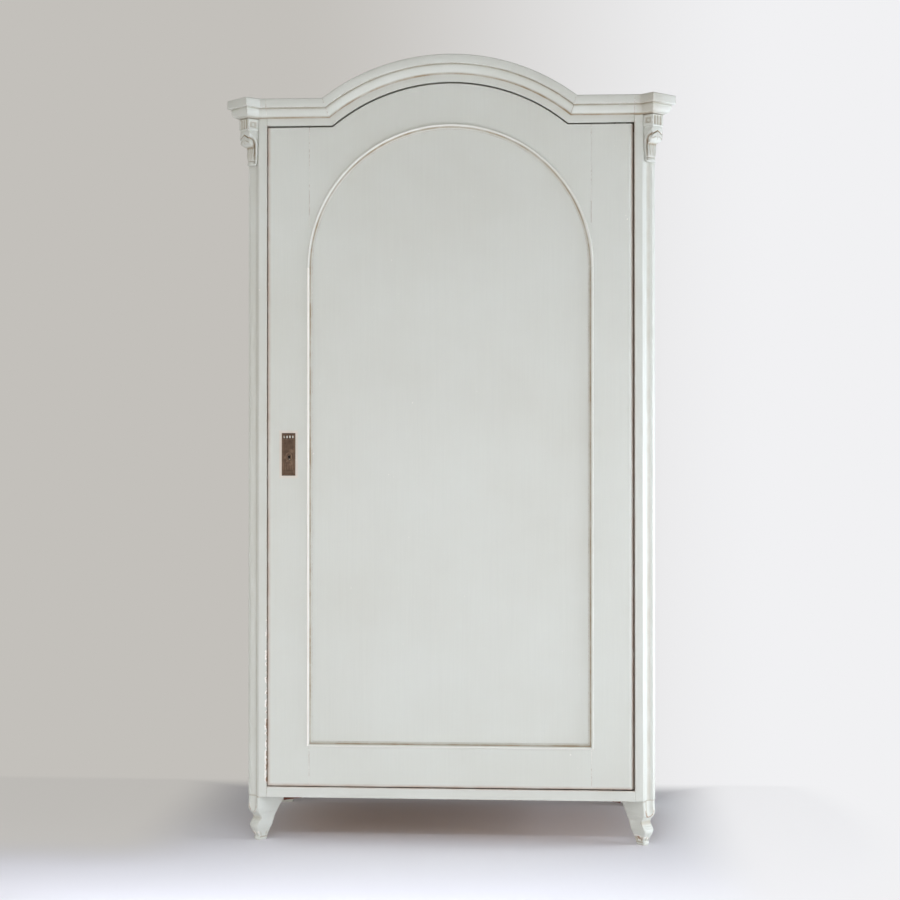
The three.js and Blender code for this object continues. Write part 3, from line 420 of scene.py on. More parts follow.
def flute_shade(tree, coords):
    """Painted shade, tinted like wax, in the hollow of the corner posts: in the half next to the
    front on the left post, and less of it in the outer half on the right post, the halves that face
    away from the light."""
    x, y, _ = put(tree, "SeparateXYZ", [coords]).node.outputs
    out = put(tree, "Math ADD", (put(tree, "Math ABSOLUTE", [x]), y))
    across = put(tree, "Math SUBTRACT", (CANT_MIDDLE.x + CANT_MIDDLE.y, out))
    right = put(tree, "Math GREATER_THAN", (x, 0.0))
    middle = put(tree, "Math MULTIPLY_ADD", (right, -16.5 * MM, 10.5 * MM))
    strength = put(tree, "Math MULTIPLY_ADD", (right, -0.28, 0.6))
    off = put(tree, "Math ABSOLUTE", [put(tree, "Math SUBTRACT", (across, middle))])
    return put(tree, "Math MULTIPLY", (put(tree, "MapRange", (off, 9 * MM, 4 * MM)), strength))


def round_plate(tree, coords):
    """A rubbed border round the lock plate."""
    middle, half = (PLATE_LOW + PLATE_HIGH) / 2, (PLATE_HIGH - PLATE_LOW) / 2
    off = put(tree, "VectorMath ABSOLUTE", [put(tree, "VectorMath SUBTRACT", (coords, middle))])
    gaps = put(tree, "VectorMath SUBTRACT", (off, half))
    x, _, z = put(tree, "SeparateXYZ", [gaps]).node.outputs
    return put(tree, "MapRange", (put(tree, "Math MAXIMUM", (x, z)), 8 * MM, 3 * MM, 0.0, 0.65))


def painted_pine(name, grain, fluted=False, chips=None):
    """Eggshell paint brushed over old pine: a soft sheen with fine brush marks along the wood,
    rubbed through to white ground and brown wood on the arrises, with tan wax in the hollows and
    beside the door's gap. The same tan is painted shade as well: in corners as far as ambient
    occlusion finds them closed in, in one half of the posts' flutes, and where the grime mark of a
    carved or moulded piece puts it. The white ground is also a painted highlight on the planted
    moulding. chips is the (x, lowest z, highest z) of an arris that has flaked."""
    finish = sizes("paint")
    tree, coords = start(bpy.data.materials.new(name))
    # Real bristle marks are too fine to show here, so they are drawn coarser
    strokes = along(tree, coords, grain, finish.brush_width, 60 * finish.brush_width)
    brush, drift, mottle, patch = (
        put(tree, "TexNoise", {
            "Vector": place, "Scale": scale, "Detail": detail, "Roughness": rough})
        for place, scale, detail, rough in (
            (strokes, 1.0, 3.0, 0.6), (coords, DULLING, 3.0, 0.55),
            (coords, SPECKS, 5.0, 0.65), (coords, PATCHES, 4.0, 0.6)))
    rounded = put(tree, "Bevel", {"Radius": finish.wear_width}, samples=6)
    normal = put(tree, "NewGeometry", output="Normal")
    bend = put(tree, "VectorMath DOT_PRODUCT", (rounded, normal), "Value")
    openness = put(tree, "AmbientOcclusion", {"Distance": finish.grime_reach}, "AO", samples=8)
    # the grime mark on a mesh holds wax, dirt and painted shade
    wear_mark, grime_and_shade_mark, ground_and_highlight_mark = (
        put(tree, "Attribute", output="Fac", attribute_name=mark)
        for mark in ("wear", "grime", "ground"))

    tone = put(tree, "MapRange", (drift, 0.35, 0.65))
    paint = put(tree, "Mix", {0: tone, MIX_A: finish.paint, MIX_B: finish.paint_shadow},
                MIXED, data_type="RGBA")
    streaks = put(tree, "MapRange", (brush, 0.3, 0.7, 0.985, 1.01))
    coat = put(tree, "Mix", {0: 1.0, MIX_A: paint, MIX_B: streaks},
               MIXED, data_type="RGBA", blend_type="MULTIPLY")

    exposed = put(tree, "Math MULTIPLY", (put(tree, "MapRange", (bend, 0.985, 0.80)), openness))
    rubbed = put(tree, "Math MULTIPLY_ADD", (exposed, 0.45, wear_mark))
    speckled = put(tree, "Math ADD", (patch, mottle))
    broken = put(tree, "Math MULTIPLY_ADD", (speckled, 0.9, rubbed))
    thin = put(tree, "Math ADD", (broken, flaked_edge(tree, coords, chips))) if chips else broken
    worn_through = put(tree, "MapRange", (thin, 1.20, 1.28))
    # white ground where the paint has worn through or the ground mark puts it, which on the
    # moulding is also a painted highlight
    to_ground_and_highlight = put(tree, "Math MAXIMUM", (worn_through, ground_and_highlight_mark))
    deep = put(tree, "Math ADD", (broken, thin))
    to_wood = put(tree, "MapRange", (deep, 2.62, 2.78, 0.0, 0.9))

    # painted shade with wax: tan darkens corners as far as ambient occlusion finds them closed in
    corner = put(tree, "MapRange", (openness, 0.6, 0.1, 0.0, 0.55))
    grime_and_shade = put(tree, "Math ADD", (corner, grime_and_shade_mark))
    # painted shade in the flutes of the corner posts
    if fluted:
        grime_and_shade = put(tree, "Math ADD", (grime_and_shade, flute_shade(tree, coords)))
    cloud = put(tree, "MapRange", (patch, 0.3, 0.62, 0.5, 1.0))
    # grime here is wax together with painted shade in corners, flutes and undercuts
    grime = put(tree, "Math MULTIPLY", (grime_and_shade, cloud), use_clamp=True)
    seam = put(tree, "MapRange", (
        seam_gap(tree, coords), finish.seam_reach, 0.0, 0.0, 0.3 if chips else 0.75))
    tint = put(tree, "Math MULTIPLY", (seam, cloud))
    halo = put(tree, "Math MULTIPLY", (round_plate(tree, coords), cloud))
    for share, layer in ((to_ground_and_highlight, finish.undercoat), (to_wood, finish.bare),
                         (grime, finish.grime), (tint, finish.gap_tint), (halo, finish.plate_tint)):
        coat = put(tree, "Mix", {0: share, MIX_A: coat, MIX_B: layer}, MIXED, data_type="RGBA")

    dullness = put(tree, "Math MAXIMUM", (grime, to_wood))
    roughness = put(tree, "MapRange", (dullness, 0.0, 1.0, 0.46, 0.75))
    marks = put(tree, "Math MULTIPLY_ADD", (to_ground_and_highlight, -0.8, brush))
    cover(tree, {"Height": marks, "Distance": 0.06 * MM, "Strength": 0.5, "Normal": rounded},
          {"Base Color": coat, "Roughness": roughness})


def bare_pine(name, grain, stain=(1, 1, 1)):
    """Old unfinished pine, sawn and planed by hand: warm brown, with dark growth lines drawn out
    along the board, a knot here and there, and painted shade that darkens it where ambient
    occlusion finds it closed in. The stain argument multiplies it; on the wedges under the rail
    that stain is made dark enough to paint in the shade there as well."""
    finish = sizes("wood")
    tree, coords = start(bpy.data.materials.new(name))
    chance = put(tree, "ObjectInfo", output="Random")
    away = put(tree, "VectorMath SCALE", {0: (7.3, 4.1, 5.7), 3: chance})
    place = put(tree, "VectorMath ADD", (coords, away))
    drawn = along(tree, place, grain, 26 * finish.ring_width, 190 * finish.ring_width)
    heart = put(tree, "TexNoise", {"Vector": drawn, "Scale": 1.0, "Detail": 1.5, "Roughness": 0.4})
    rings = put(tree, "Math PINGPONG", (put(tree, "Math MULTIPLY", (heart, 30.0)), 1.0))
    threads = along(tree, place, grain, 0.9 * MM, 60 * MM)
    fibre = put(tree, "TexNoise", {
        "Vector": threads, "Scale": 1.0, "Detail": 3.0, "Roughness": 0.6})
    cells = along(tree, place, grain, 150 * MM, 330 * MM)
    from_knot = put(tree, "TexVoronoi", {"Vector": cells, "Scale": 1.0}, "Distance")
    # painted shade: the wood darkens where ambient occlusion finds it closed in
    openness = put(tree, "AmbientOcclusion", {"Distance": 30 * MM}, "AO", samples=6)
    knot, tone, speckle, corner_shade = (put(tree, "MapRange", limits) for limits in (
        (from_knot, 0.075, 0.035, 0.0, 0.9), (chance, 0.0, 1.0, 0.84, 1.12),
        (fibre, 0.3, 0.7, 0.82, 1.08), (openness, 0.2, 0.9, 0.6, 1.0)))
    board = put(tree, "Math MULTIPLY", (speckle, tone))
    wood = put(tree, "Mix", {0: rings, MIX_A: finish.early, MIX_B: finish.late},
               MIXED, data_type="RGBA")
    for share, layer, blend in ((1.0, board, "MULTIPLY"), (knot, finish.knot, "MIX"),
                                (1.0, corner_shade, "MULTIPLY"), (1.0, stain, "MULTIPLY")):
        wood = put(tree, "Mix", {0: share, MIX_A: wood, MIX_B: layer},
                   MIXED, data_type="RGBA", blend_type=blend)
    cover(tree, {"Height": fibre, "Distance": 0.25 * MM, "Strength": 0.6},
          {"Base Color": wood, "Roughness": 0.72})


def stamped_brass(name):
    """Sheet brass stamped from behind and never polished since: brown in the sunk ground, rubbed
    dull gold on the raised parts, with paint caught in the beads and round the rim."""
    finish = sizes("metal")
    tree, coords = start(bpy.data.materials.new(name))
    raised, caught = (put(tree, "Attribute", output="Fac", attribute_name=mark)
                      for mark in ("raised", "caught"))
    blotch = put(tree, "TexNoise", {
        "Vector": coords, "Scale": TARNISH, "Detail": 5.0, "Roughness": 0.65})
    shine = put(tree, "Math MULTIPLY_ADD", (blotch, 0.9, raised))
    rubbed = put(tree, "MapRange", (shine, 0.45, 1.35))
    flecks = put(tree, "Math MULTIPLY", (caught, blotch))
    painted = put(tree, "MapRange", (flecks, 0.30, 0.42, 0.0, 0.95))
    metal = finish.patina
    for share, layer in ((rubbed, finish.brass), (painted, sizes("paint").paint_shadow)):
        metal = put(tree, "Mix", {0: share, MIX_A: metal, MIX_B: layer}, MIXED, data_type="RGBA")
    cover(tree, {"Height": blotch, "Distance": 0.08 * MM, "Strength": 0.4}, {
        "Base Color": metal, "Metallic": put(tree, "MapRange", (painted, 0.0, 0.6, 0.9, 0.0)),
        "Roughness": put(tree, "MapRange", (rubbed, 0.0, 1.0, 0.62, 0.36))})


def browned_iron(name):
    """Forged and filed iron under old oil: almost black, dull, with dry rust in patches."""
    finish = sizes("metal")
    tree, coords = start(bpy.data.materials.new(name))
    blotch = put(tree, "TexNoise", {
        "Vector": coords, "Scale": RUST, "Detail": 6.0, "Roughness": 0.7})
    strokes = along(tree, coords, "Z", 0.8 * MM, 25 * MM)
    filing = put(tree, "TexNoise", {"Vector": strokes, "Scale": 1.0, "Detail": 2.0})
    rusted = put(tree, "MapRange", (blotch, 0.48, 0.64, 0.0, 0.9))
    metal = put(tree, "Mix", {0: rusted, MIX_A: finish.iron, MIX_B: finish.rust},
                MIXED, data_type="RGBA")
    cover(tree, {"Height": filing, "Distance": 0.05 * MM, "Strength": 0.5}, {
        "Base Color": metal, "Metallic": put(tree, "MapRange", (rusted, 0.0, 0.9, 0.85, 0.1)),
        "Roughness": put(tree, "MapRange", (rusted, 0.0, 0.9, 0.42, 0.8))})


def finish_named(name):
    """The material of that name, made the first time that it is asked for."""
    if name not in bpy.data.materials:
        makers = {
            "painted_pine_fluted": (painted_pine, "Z", True),
            "painted_pine_flaked": (
                painted_pine, "Z", True, (-OPENING_HALF, high("base_rail_front").z, 0.62)),
            "stained_pine_x": (bare_pine, "X", sizes("wood").stain),
            "stamped_brass": (stamped_brass,),
            "browned_iron": (browned_iron,),
        }
        for axis in "xyz":
            makers[f"painted_pine_{axis}"] = (painted_pine, axis.upper())
            makers[f"bare_pine_{axis}"] = (bare_pine, axis.upper())
        make, *settings = makers[name]
        make(name, *settings)
    return bpy.data.materials[name]


# Cornice

def quarter(steps):
    """Sine and cosine at even steps from 0 to 90 degrees."""
    angles = [math.pi / 2 * i / steps for i in range(steps + 1)]
    return [(math.sin(angle), math.cos(angle)) for angle in angles]


def crown_section():
    """(reach, rise, grime) from the foot of the crown moulding to its top, wax in the quirks."""
    part = sizes("cornice")
    foot, quirk, ovolo, tall = part.foot_reach, part.quirk, part.ovolo_reach, part.ovolo_height
    top = CROWN_TOP_Z - CROWN_FOOT_Z
    reach = FRONT_Y - low("crown_arch").y
    points = [(foot, 0, 1), (foot + 0.3 * quirk, quirk, 1)]
    for sine, cosine in quarter(14):
        rise = 1.3 * quirk + (tall - 2.3 * quirk) * (1 - cosine)
        grime = 0.75 * (1 - ramp(rise, quirk, 3 * quirk))
        grime += 0.2 * ramp(tall - rise, 3 * quirk, quirk)
        points.append((between(foot + quirk, ovolo, sine), rise, grime))
    inner = ovolo - 0.6 * quirk
    lip = reach - inner
    points += [
        (ovolo - 0.2 * quirk, tall - 0.5 * quirk, 0.35), (inner, tall, 0.5),
        (inner, tall + quirk, 0.5), (inner + 0.3 * lip, tall + quirk, 0.3),
        (reach - 0.2 * lip, tall + quirk, 0.05), (reach - 0.05 * lip, tall + 1.3 * quirk, 0.0),
        (reach, tall + 2.2 * quirk, 0.0)]
    points += [(reach - part.band_round * (1 - cosine), top - part.band_round * (1 - sine), 0.0)
               for sine, cosine in quarter(5)]
    return points


def meets(radius, z):
    """How far from the middle a circle about the arch's centre meets a level line."""
    return math.sqrt(radius ** 2 - (z - ARCH_CENTRE_Z) ** 2)


def uneven(value, place):
    """Grime that comes and goes along a piece."""
    return clamp(value * (1 + 0.45 * noise.noise(Vector(place) * 9)))


def run(name, section, at, steps, bare=0.35):
    """A moulding through at(section point, share of the way). Its marked parts are rubbed to the
    white ground as far as bare says; on the planted moulding that white is also a painted
    highlight."""
    rings = []
    for i in range(steps + 1):
        ring = [(at(point, i / steps), point) for point in section]
        rings.append([(*place, uneven(point[2], place), bare * point[3])
                      for place, point in ring])
    return skin(name, rings, ("grime", "ground"))


def over_arch(point, share):
    """Where a point of the crown's section lies that share of the way over the arch."""
    radius = CROWN_FOOT_RADIUS + point[1]
    half_turn = math.asin(meets(radius, CROWN_FOOT_Z + point[1]) / radius) - FIT / radius
    turn = (2 * share - 1) * half_turn
    return radius * math.sin(turn), FRONT_Y - point[0], ARCH_CENTRE_Z + radius * math.cos(turn)


def corner_plan(reach):
    """Plan of the cornice over the right corner when it stands out by reach: along the front,
    round the break above the corbel and along the side."""
    root = math.sqrt(0.5)
    slip = 2 * (CANT * root - BLOCK_HALF * MM) * root - (math.sqrt(2) - 1) * reach
    out, wide = BLOCK_REACH * MM + reach, BLOCK_HALF * MM + reach
    corner = [(CANT_MIDDLE.x + (a + out) * root, CANT_MIDDLE.y + (a - out) * root)
              for a in (-wide, wide)]
    return [
        (OPENING_HALF, FRONT_Y - reach), (HALF_WIDTH - CANT + slip, FRONT_Y - reach), *corner,
        (HALF_WIDTH + reach, FRONT_Y + CANT - slip), (HALF_WIDTH + reach, POST_BACK_Y),
        (OPENING_HALF, POST_BACK_Y)]


# For each corner of that plan: the share of the section's grime, and more on the right capital,
# a painted shade with some dirt on its inner return, which faces away from the light
CORNER_GRIME_AND_SHADE = ((1, 0), (0.7, 0.3), (0.25, 0.3), (0.25, 0), (0.7, 0), (1, 0), (1, 0))


def capital(word, side):
    rings = []
    for reach, rise, dirt in crown_section():
        ring = []
        for (x, y), (share, more) in zip(corner_plan(reach), CORNER_GRIME_AND_SHADE):
            place = (side * x, y, CROWN_FOOT_Z + rise)
            ring.append((*place, uneven(share * dirt + more * (side > 0), place)))
        rings.append(ring)
    return skin(f"capital_{word}_moulding", rings, ["grime"])


class CABINET_OT_cornice(bpy.types.Operator):
    """Runs the crown moulding over the arch, along the front and sides and round the capitals"""
    bl_idname = "cabinet.cornice"
    bl_label = "Cornice"

    def execute(self, context):
        section = [(*point, 0) for point in crown_section()]
        section = [(0, 0, 1.0, 0), *section, (0, section[-1][1], 0.3, 0)]
        hang(run("crown_arch_moulding", section, over_arch, 120), "crown_arch", "painted_pine_x")
        for word, side in SIDES:
            def along_front(point, share):
                z = CROWN_FOOT_Z + point[1]
                x = between(meets(CROWN_FOOT_RADIUS + point[1], z), OPENING_HALF, share)
                return side * x, FRONT_Y - point[0], z

            def along_side(point, share):
                y = between(POST_BACK_Y, BACK_Y, share)
                return side * (HALF_WIDTH + point[0]), y, CROWN_FOOT_Z + point[1]

            hang(run(f"crown_front_{word}_moulding", section, along_front, 12),
                 f"crown_front_{word}", "painted_pine_x")
            hang(run(f"crown_side_{word}_moulding", section, along_side, 24),
                 f"crown_side_{word}", "painted_pine_y")
            hang(capital(word, side), f"capital_{word}", "painted_pine_x")
        return {"FINISHED"}


# Corbels and front feet, carved in millimetres facing the front at x = 0 and then turned to
# their corner

CORBEL_HEIGHT = CROWN_FOOT_Z - low("corbel_right").z
# The front of the corbel in side view: how far down from the top, and the reach
CORBEL_PROFILE = [
    (0, 31), (26.8, 31), (27.8, 30.2), (28.6, 28.9), (29.6, 28.9), (31, 30), (34, 31), (57, 31),
    (61, 29.8), (64.5, 26.5), (66.8, 21.5), (68.2, 17), (70, 15.2), (76, 15), (90, 15.6), (99, 15),
    (103, 13.4), (104, 12.4), (105, 12.6), (106.5, 14.2), (110, 15), (113.5, 14.6), (115.2, 13),
    (116, 10.5)]
# Half the width of the corbel by the distance down from the top
CORBEL_WIDTHS = [
    (0, 19), (26.8, 19), (28, 18), (30, 17.4), (40, 18.4), (62, 18.2), (67, 16.4), (72, 15.6),
    (84, 15.4), (96, 14.2), (103, 13.2), (104.2, 12.4), (106, 13.4), (113, 13.4), (116, 11.5)]
# Middle line of the raised rim on the sides, as (distance out from the post, distance down), and
# of the cut inside the rim
RIM_LINE = [(31, 35), (24, 38.5), (17, 43), (11, 49), (7, 57), (4.5, 66), (3.5, 80), (3.5, 104),
            (4.5, 110), (9, 114)]
CUT_LINE = [(31, 47.5), (25, 48), (19, 50.5), (14, 55), (10.5, 62), (9.5, 70), (9.5, 80), (11, 90)]

FOOT_HEIGHT = high("foot_front_left").z / MM
FOOT_DRAWN = 104
FOOT_ROUND = 2
# Front and back of the foot in side view, by height in a foot of the drawn height: depth behind
# the canted face
FOOT_FRONT = [
    (0, 8.4), (2, 6.9), (5, 6.2), (7.3, 6.8), (8.6, 8.4), (9.6, 8.6), (13.5, 6.2), (19.8, 3.1),
    (26, -0.4), (31.2, -2.3), (36.4, -1.9), (41.6, 2.1), (46.8, 7.6), (52, 10.9), (58.2, 9.4),
    (63.4, 3.9), (70, -0.4), (77, -1.6), (88, -0.8), (104, 0)]
FOOT_BACK = [
    (0, 32), (2, 33.2), (12.5, 36.7), (24, 40.6), (37.4, 46), (52, 51.9), (65.5, 57.3),
    (75, 60.5), (86, 65.9), (94.6, 72.5), (104, 78)]
# Half the width of the foot by height
FOOT_WIDTHS = [
    (0, 8.2), (2, 9.4), (6, 10), (8, 9.2), (11.4, 9.9), (17.7, 11.3), (24, 13.3), (30, 15.5),
    (36.4, 16.8), (43.7, 17), (52, 16.6), (60.3, 17.4), (67.6, 19.5), (77, 21), (104, 21)]


def read_line(table, place):
    """Value at a place in a table of (place, value) pairs."""
    for (a, value), (b, next_value) in zip(table, table[1:]):
        if place <= b:
            return between(value, next_value, ramp(place, a, b))
    return table[-1][1]


def from_line(line, a, b):
    """Distance of a point from a line of points."""
    gaps = []
    for (a0, b0), (a1, b1) in zip(line, line[1:]):
        da, db = a1 - a0, b1 - b0
        t = clamp(((a - a0) * da + (b - b0) * db) / (da * da + db * db))
        gaps.append(math.hypot(a - a0 - t * da, b - b0 - t * db))
    return min(gaps)


def carved(name, side, rows, marks):
    """Skins rows of (x, y, z, marks), turned and moved to the corner on that side."""
    turn = Matrix.Rotation(side * math.pi / 4, 4, "Z")
    stand = Matrix.Translation((side * CANT_MIDDLE.x, CANT_MIDDLE.y, 0)) @ turn
    rings = [[(*(stand @ Vector([c * MM for c in point[:3]])), *point[3:]) for point in row]
             for row in rows]
    return skin(name, rings, marks, CARVED_SHARP)


def flute_cut(x, down, depth):
    """Depth of the three flutes on the block's face."""
    pitch = 10
    if abs(x) >= 1.5 * pitch:
        return 0.0
    across = bump((x + 1.5 * pitch) % pitch, pitch / 2, 4.4)
    return depth * across * window(down, 1.5, 3.5, 23.5, 26)


def leaf_cut(x, down, half, depth):
    """Depth of the hollows between the five reeds of the leaf, which draw together to the tip."""
    hollow = 1 - abs(math.sin(5 * math.pi * (x / half + 1) / 2))
    return depth * hollow ** 2 * window(down, 67, 72, 99, 104)


def scroll_cut(x, down, half, depth):
    """Depth of the cuts on the turned-over leaf above: a chevron, a fold and a middle vein."""
    share = abs(x) / half
    chevron = bump(down, 40 + 10 * share, 2.4)
    fold = bump(down, 52 + 8 * share, 2) * ramp(share, 0.15, 0.4)
    vein = bump(x, 0, 1.4) * window(down, 43, 46, 60, 66)
    return depth * (1.5 * chevron + 0.6 * fold + 0.5 * vein)


def side_relief(out, down, rim):
    """Relief on the corbel's sides: how far a point stands out, and the grime in it."""
    if down < BLOCK_HEIGHT:
        a, b = abs(out - BLOCK_REACH / 2), abs(down - BLOCK_HEIGHT / 2)
        inside = 1 - ramp(max(a - 10, b - 7.5), -1, 0)
        button = 1 - ramp(math.hypot(a, b), 2.6, 5)
        return 1.9 * button - 2 * inside, 0.5 * inside * (1 - button)
    band = 1 - ramp(from_line(RIM_LINE, out, down), 2.4, 3.4)
    cut = 1 - ramp(from_line(CUT_LINE, out, down), 1.5, 3)
    pocket = 1 - ramp(math.hypot(out - 19.5, (down - 77) / 1.3), 1.5, 4.5)
    sunk = max(cut, pocket) * (1 - band)
    eye = math.hypot((out - 22.3) / 6.6, (down - 60.5) / 10.2)
    dome = max(0.0, 1 - eye ** 2) ** 0.5
    fans = window(down, 70, 76, 98, 104) * (1 - band)
    height = between(-1.5, rim, band) - 3.2 * sunk + 3.4 * dome
    height += 0.8 * fans * math.sin(1.9 * out + 0.45 * down)
    hollow = (1 - band) * (1 - dome) * ramp(down, 44, 52)
    return height, clamp(1.1 * sunk + 0.4 * hollow + 0.25 * fans)


def corbel(word, side):
    part = sizes("carving")
    flute, reed, rim = part.flute_depth / MM, part.reed_depth / MM, part.rim_height / MM
    gap = 1.3
    tall, top = CORBEL_HEIGHT / MM - gap, CROWN_FOOT_Z / MM - gap
    levels, side_steps, front_steps = int(CORBEL_HEIGHT / part.step), 34, 46
    rows = []
    for i in range(levels + 1):
        down = tall * i / levels
        half, reach = read_line(CORBEL_WIDTHS, down), read_line(CORBEL_PROFILE, down)
        crown = 2 * ramp(down, BLOCK_HEIGHT, 34) + 2.5 * ramp(down, 66, 74)
        seam = 0.6 * (1 - ramp(down, 0.5, 2))
        # painted shade under the scroll's overhang and in the undercut above the lip, carried in
        # the grime mark
        shade_under = 0.7 * bump(down, 104.5, 2.5) + 0.6 * bump(down, 71.5, 5)
        flank, front = [], []
        for j in range(side_steps + 1):
            out = between(FIT / MM, reach - crown, j / side_steps)
            stand_out, dirt = side_relief(out, down, rim)
            fade = 1 - ramp(j / side_steps, 0.93, 1.0)
            flank.append((half + stand_out * fade, -out, top - down, max(dirt * fade, seam)))
        for j in range(1, front_steps):
            x = half * (2 * j / front_steps - 1)
            flutes = flute_cut(x, down, flute)
            cut = leaf_cut(x, down, half, reed) + scroll_cut(x, down, half, reed)
            # grime in the flutes and between the reeds, made strong enough to be their painted
            # shade too
            hollow = 1.1 * clamp(cut / 2) + 0.75 * clamp(flutes / 2)
            front.append((x, flutes + cut + crown * (x / half) ** 2 - reach, top - down,
                          clamp(max(seam, hollow + shade_under))))
        rows.append([(-x, *rest) for x, *rest in flank] + front + flank[::-1])
    return carved(f"corbel_{word}_carving", side, rows, ["grime"])


class CABINET_OT_corbels(bpy.types.Operator):
    """Carves the two corbels under the capitals"""
    bl_idname = "cabinet.corbels"
    bl_label = "Corbels"

    def execute(self, context):
        for word, side in SIDES:
            hang(corbel(word, side), f"corbel_{word}", "painted_pine_z")
        return {"FINISHED"}


def toe_marks(share, z, strength):
    """Grime and wear on the sides of the toe: dark hollows between the knuckles, rubbed between."""
    spots = max(0.0, math.sin(share * 3.2 * math.pi)) ** 2 * bump(z, 14, 9)
    sole = 0.8 * bump(z, 7, 2.4)
    return max(strength * spots, sole), 0.45 * strength * bump(z, 17, 13) * (1 - spots)


def foot(word, side):
    flute_depth = sizes("carving").foot_flute_depth / MM
    marked = 1.2 if side > 0 else 0.45
    levels, front_steps, side_steps, back_steps = 110, 44, 22, 10
    rows = []
    for i in range(levels + 1):
        z = FOOT_DRAWN * i / levels
        half, y0, y1 = (read_line(line, z) for line in (FOOT_WIDTHS, FOOT_FRONT, FOOT_BACK))
        if side < 0:
            y1 += 9 * ramp(z, 50, 104)
        belly = 3 * (1 - ramp(z, 38, 48))
        front, flank = [], []
        for j in range(front_steps + 1):
            x = half * (2 * j / front_steps - 1)
            flute_end = math.hypot(x / 13.5, min(0.0, z - 80) / 13)
            hollow = flute_depth * max(0.0, 1 - flute_end ** 2)
            lip = 1.2 * bump(flute_end, 1.08, 0.2) * (1 - ramp(z, 80, 90))
            knuckle_cut = 1.8 * bump(abs(x), 3.6, 2) * window(z, 8, 11, 24, 34)
            corner = 1 - clamp((1 - abs(x) / half) / 0.09)
            eased = FOOT_ROUND * (1 - math.sqrt(max(0.0, 1 - corner ** 2)))
            dirt = 0.2 * knuckle_cut + 0.8 * bump(abs(x), 5, 3.4) * bump(z, 14, 7)
            # painted shade, tinted like grime: in the recess under the knee, and in the half of the
            # flute next to the front
            dirt += 0.45 * bump(z, 52, 9)
            dirt += 0.8 * clamp(hollow / FOOT_ROUND) * ramp(-side * x, -2, 9)
            front.append((x, y0 + hollow - lip + knuckle_cut + eased + belly * (x / half) ** 2,
                          clamp(dirt), 0.4 * bump(z, 19, 12) + 0.6 * clamp(lip)))
        for j in range(1, side_steps):
            share = j / side_steps
            hollow = 1.2 * math.sin(math.pi * share) * bump(z, 48, 26)
            flank.append((half - hollow, between(y0 + FOOT_ROUND + belly, y1, share),
                          *toe_marks(share, z, marked)))
        back = [(half * (1 - 2 * j / back_steps), y1, 0.2, 0.0) for j in range(back_steps + 1)]
        ring = front + flank + back + [(-x, *rest) for x, *rest in flank[::-1]]
        seam = 0.7 * ramp(z, 101.5, 103.5)
        rows.append([(x, y, z * FOOT_HEIGHT / FOOT_DRAWN, max(dirt, seam), wear)
                     for x, y, dirt, wear in ring])
    return carved(f"foot_front_{word}_carving", side, rows, ("grime", "wear"))


def wedge(word, side):
    """The slip of raw wood that packs the front rail just inside the foot."""
    thick, long, inset = (8.5, 46, 42) if side < 0 else (5, 22, 35)
    thin, depth, steps = 1.5, 24 * MM, 8
    rail_foot = low("base_rail_front").z
    rings = []
    for share in (i / steps for i in range(steps + 1)):
        x = side * (OPENING_HALF - (inset + long * share) * MM)
        front = FRONT_Y + (3 + 1.2 * math.sin(5 * share)) * MM
        top, foot_z = rail_foot - FIT, rail_foot - between(thick, thin, share ** 0.8) * MM
        rings.append([(x, front, top), (x, front + 0.5 * MM, foot_z),
                      (x, front + depth, foot_z), (x, front + depth, top)])
    return skin(f"rail_wedge_{word}", rings)


class CABINET_OT_feet(bpy.types.Operator):
    """Carves the two scrolled feet at the front and sets the wedges beside them"""
    bl_idname = "cabinet.feet"
    bl_label = "Feet"

    def execute(self, context):
        for word, side in SIDES:
            hang(foot(word, side), f"foot_front_{word}", "painted_pine_z")
            slip = wedge(word, side)
            # stained dark enough to be painted shade under the rail as well
            slip.data.materials.append(finish_named("stained_pine_x"))
            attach(slip, "carcass")
        return {"FINISHED"}


# Frame: posts, rails and rear feet with their arrises eased

def pairs(*pieces):
    """The left and the right node of each piece."""
    return [f"{piece}_{word}" for piece in pieces for word, _ in SIDES]


EASED = (*pairs("post_front", "post_rear", "foot_rear"), "base_rail_front", "frieze_rail",
         *pairs("base_rail", "top_rail", "door_stop"))
POST_FINISHES = {
    "post_front_left": "painted_pine_flaked", "post_front_right": "painted_pine_fluted"}


def grain_of(node):
    """The direction of the wood in a piece: along its longest side."""
    size = high(node) - low(node)
    return "xyz"[max(range(3), key=lambda axis: size[axis])]


class CABINET_OT_carcass(bpy.types.Operator):
    """Eases the arrises of the posts, rails and rear feet"""
    bl_idname = "cabinet.carcass"
    bl_label = "Carcass"

    def execute(self, context):
        for node in EASED:
            finish = POST_FINISHES.get(node, f"painted_pine_{grain_of(node)}")
            hang(eased_copy(node, sizes("door").easing), node, finish)
        return {"FINISHED"}


# Door

def door_edge(point):
    """True for a point on the outline of the door."""
    arch = math.hypot(point.x, point.z - ARCH_CENTRE_Z) - (DOOR_TOP - ARCH_CENTRE_Z)
    on_top = abs(arch) < FIT or abs(point.z - DOOR_SHOULDER) < FIT
    return min(DOOR_HALF - abs(point.x), point.z - DOOR_BOTTOM) < FIT or on_top


def sagged(point):
    """The door's top and bottom edges, lower on the lock side as the door has dropped, and its
    sides a little wider, though on the hinge side only so far that the edge still turns freely."""
    part = sizes("door")
    share = clamp((DOOR_HALF - point.x) / (2 * DOOR_HALF))
    near = ramp(abs(point.z - DOOR_MIDDLE_Z), 0.72, 0.80)
    drop = part.sag * share * near * (1.0 if point.z > DOOR_MIDDLE_Z else 0.6)
    swell = part.swell * ramp(abs(point.x), DOOR_HALF - 26 * MM, DOOR_HALF)
    swell *= 1.0 if point.x < 0 else 0.62
    return point + Vector((math.copysign(swell, point.x), 0, -drop))


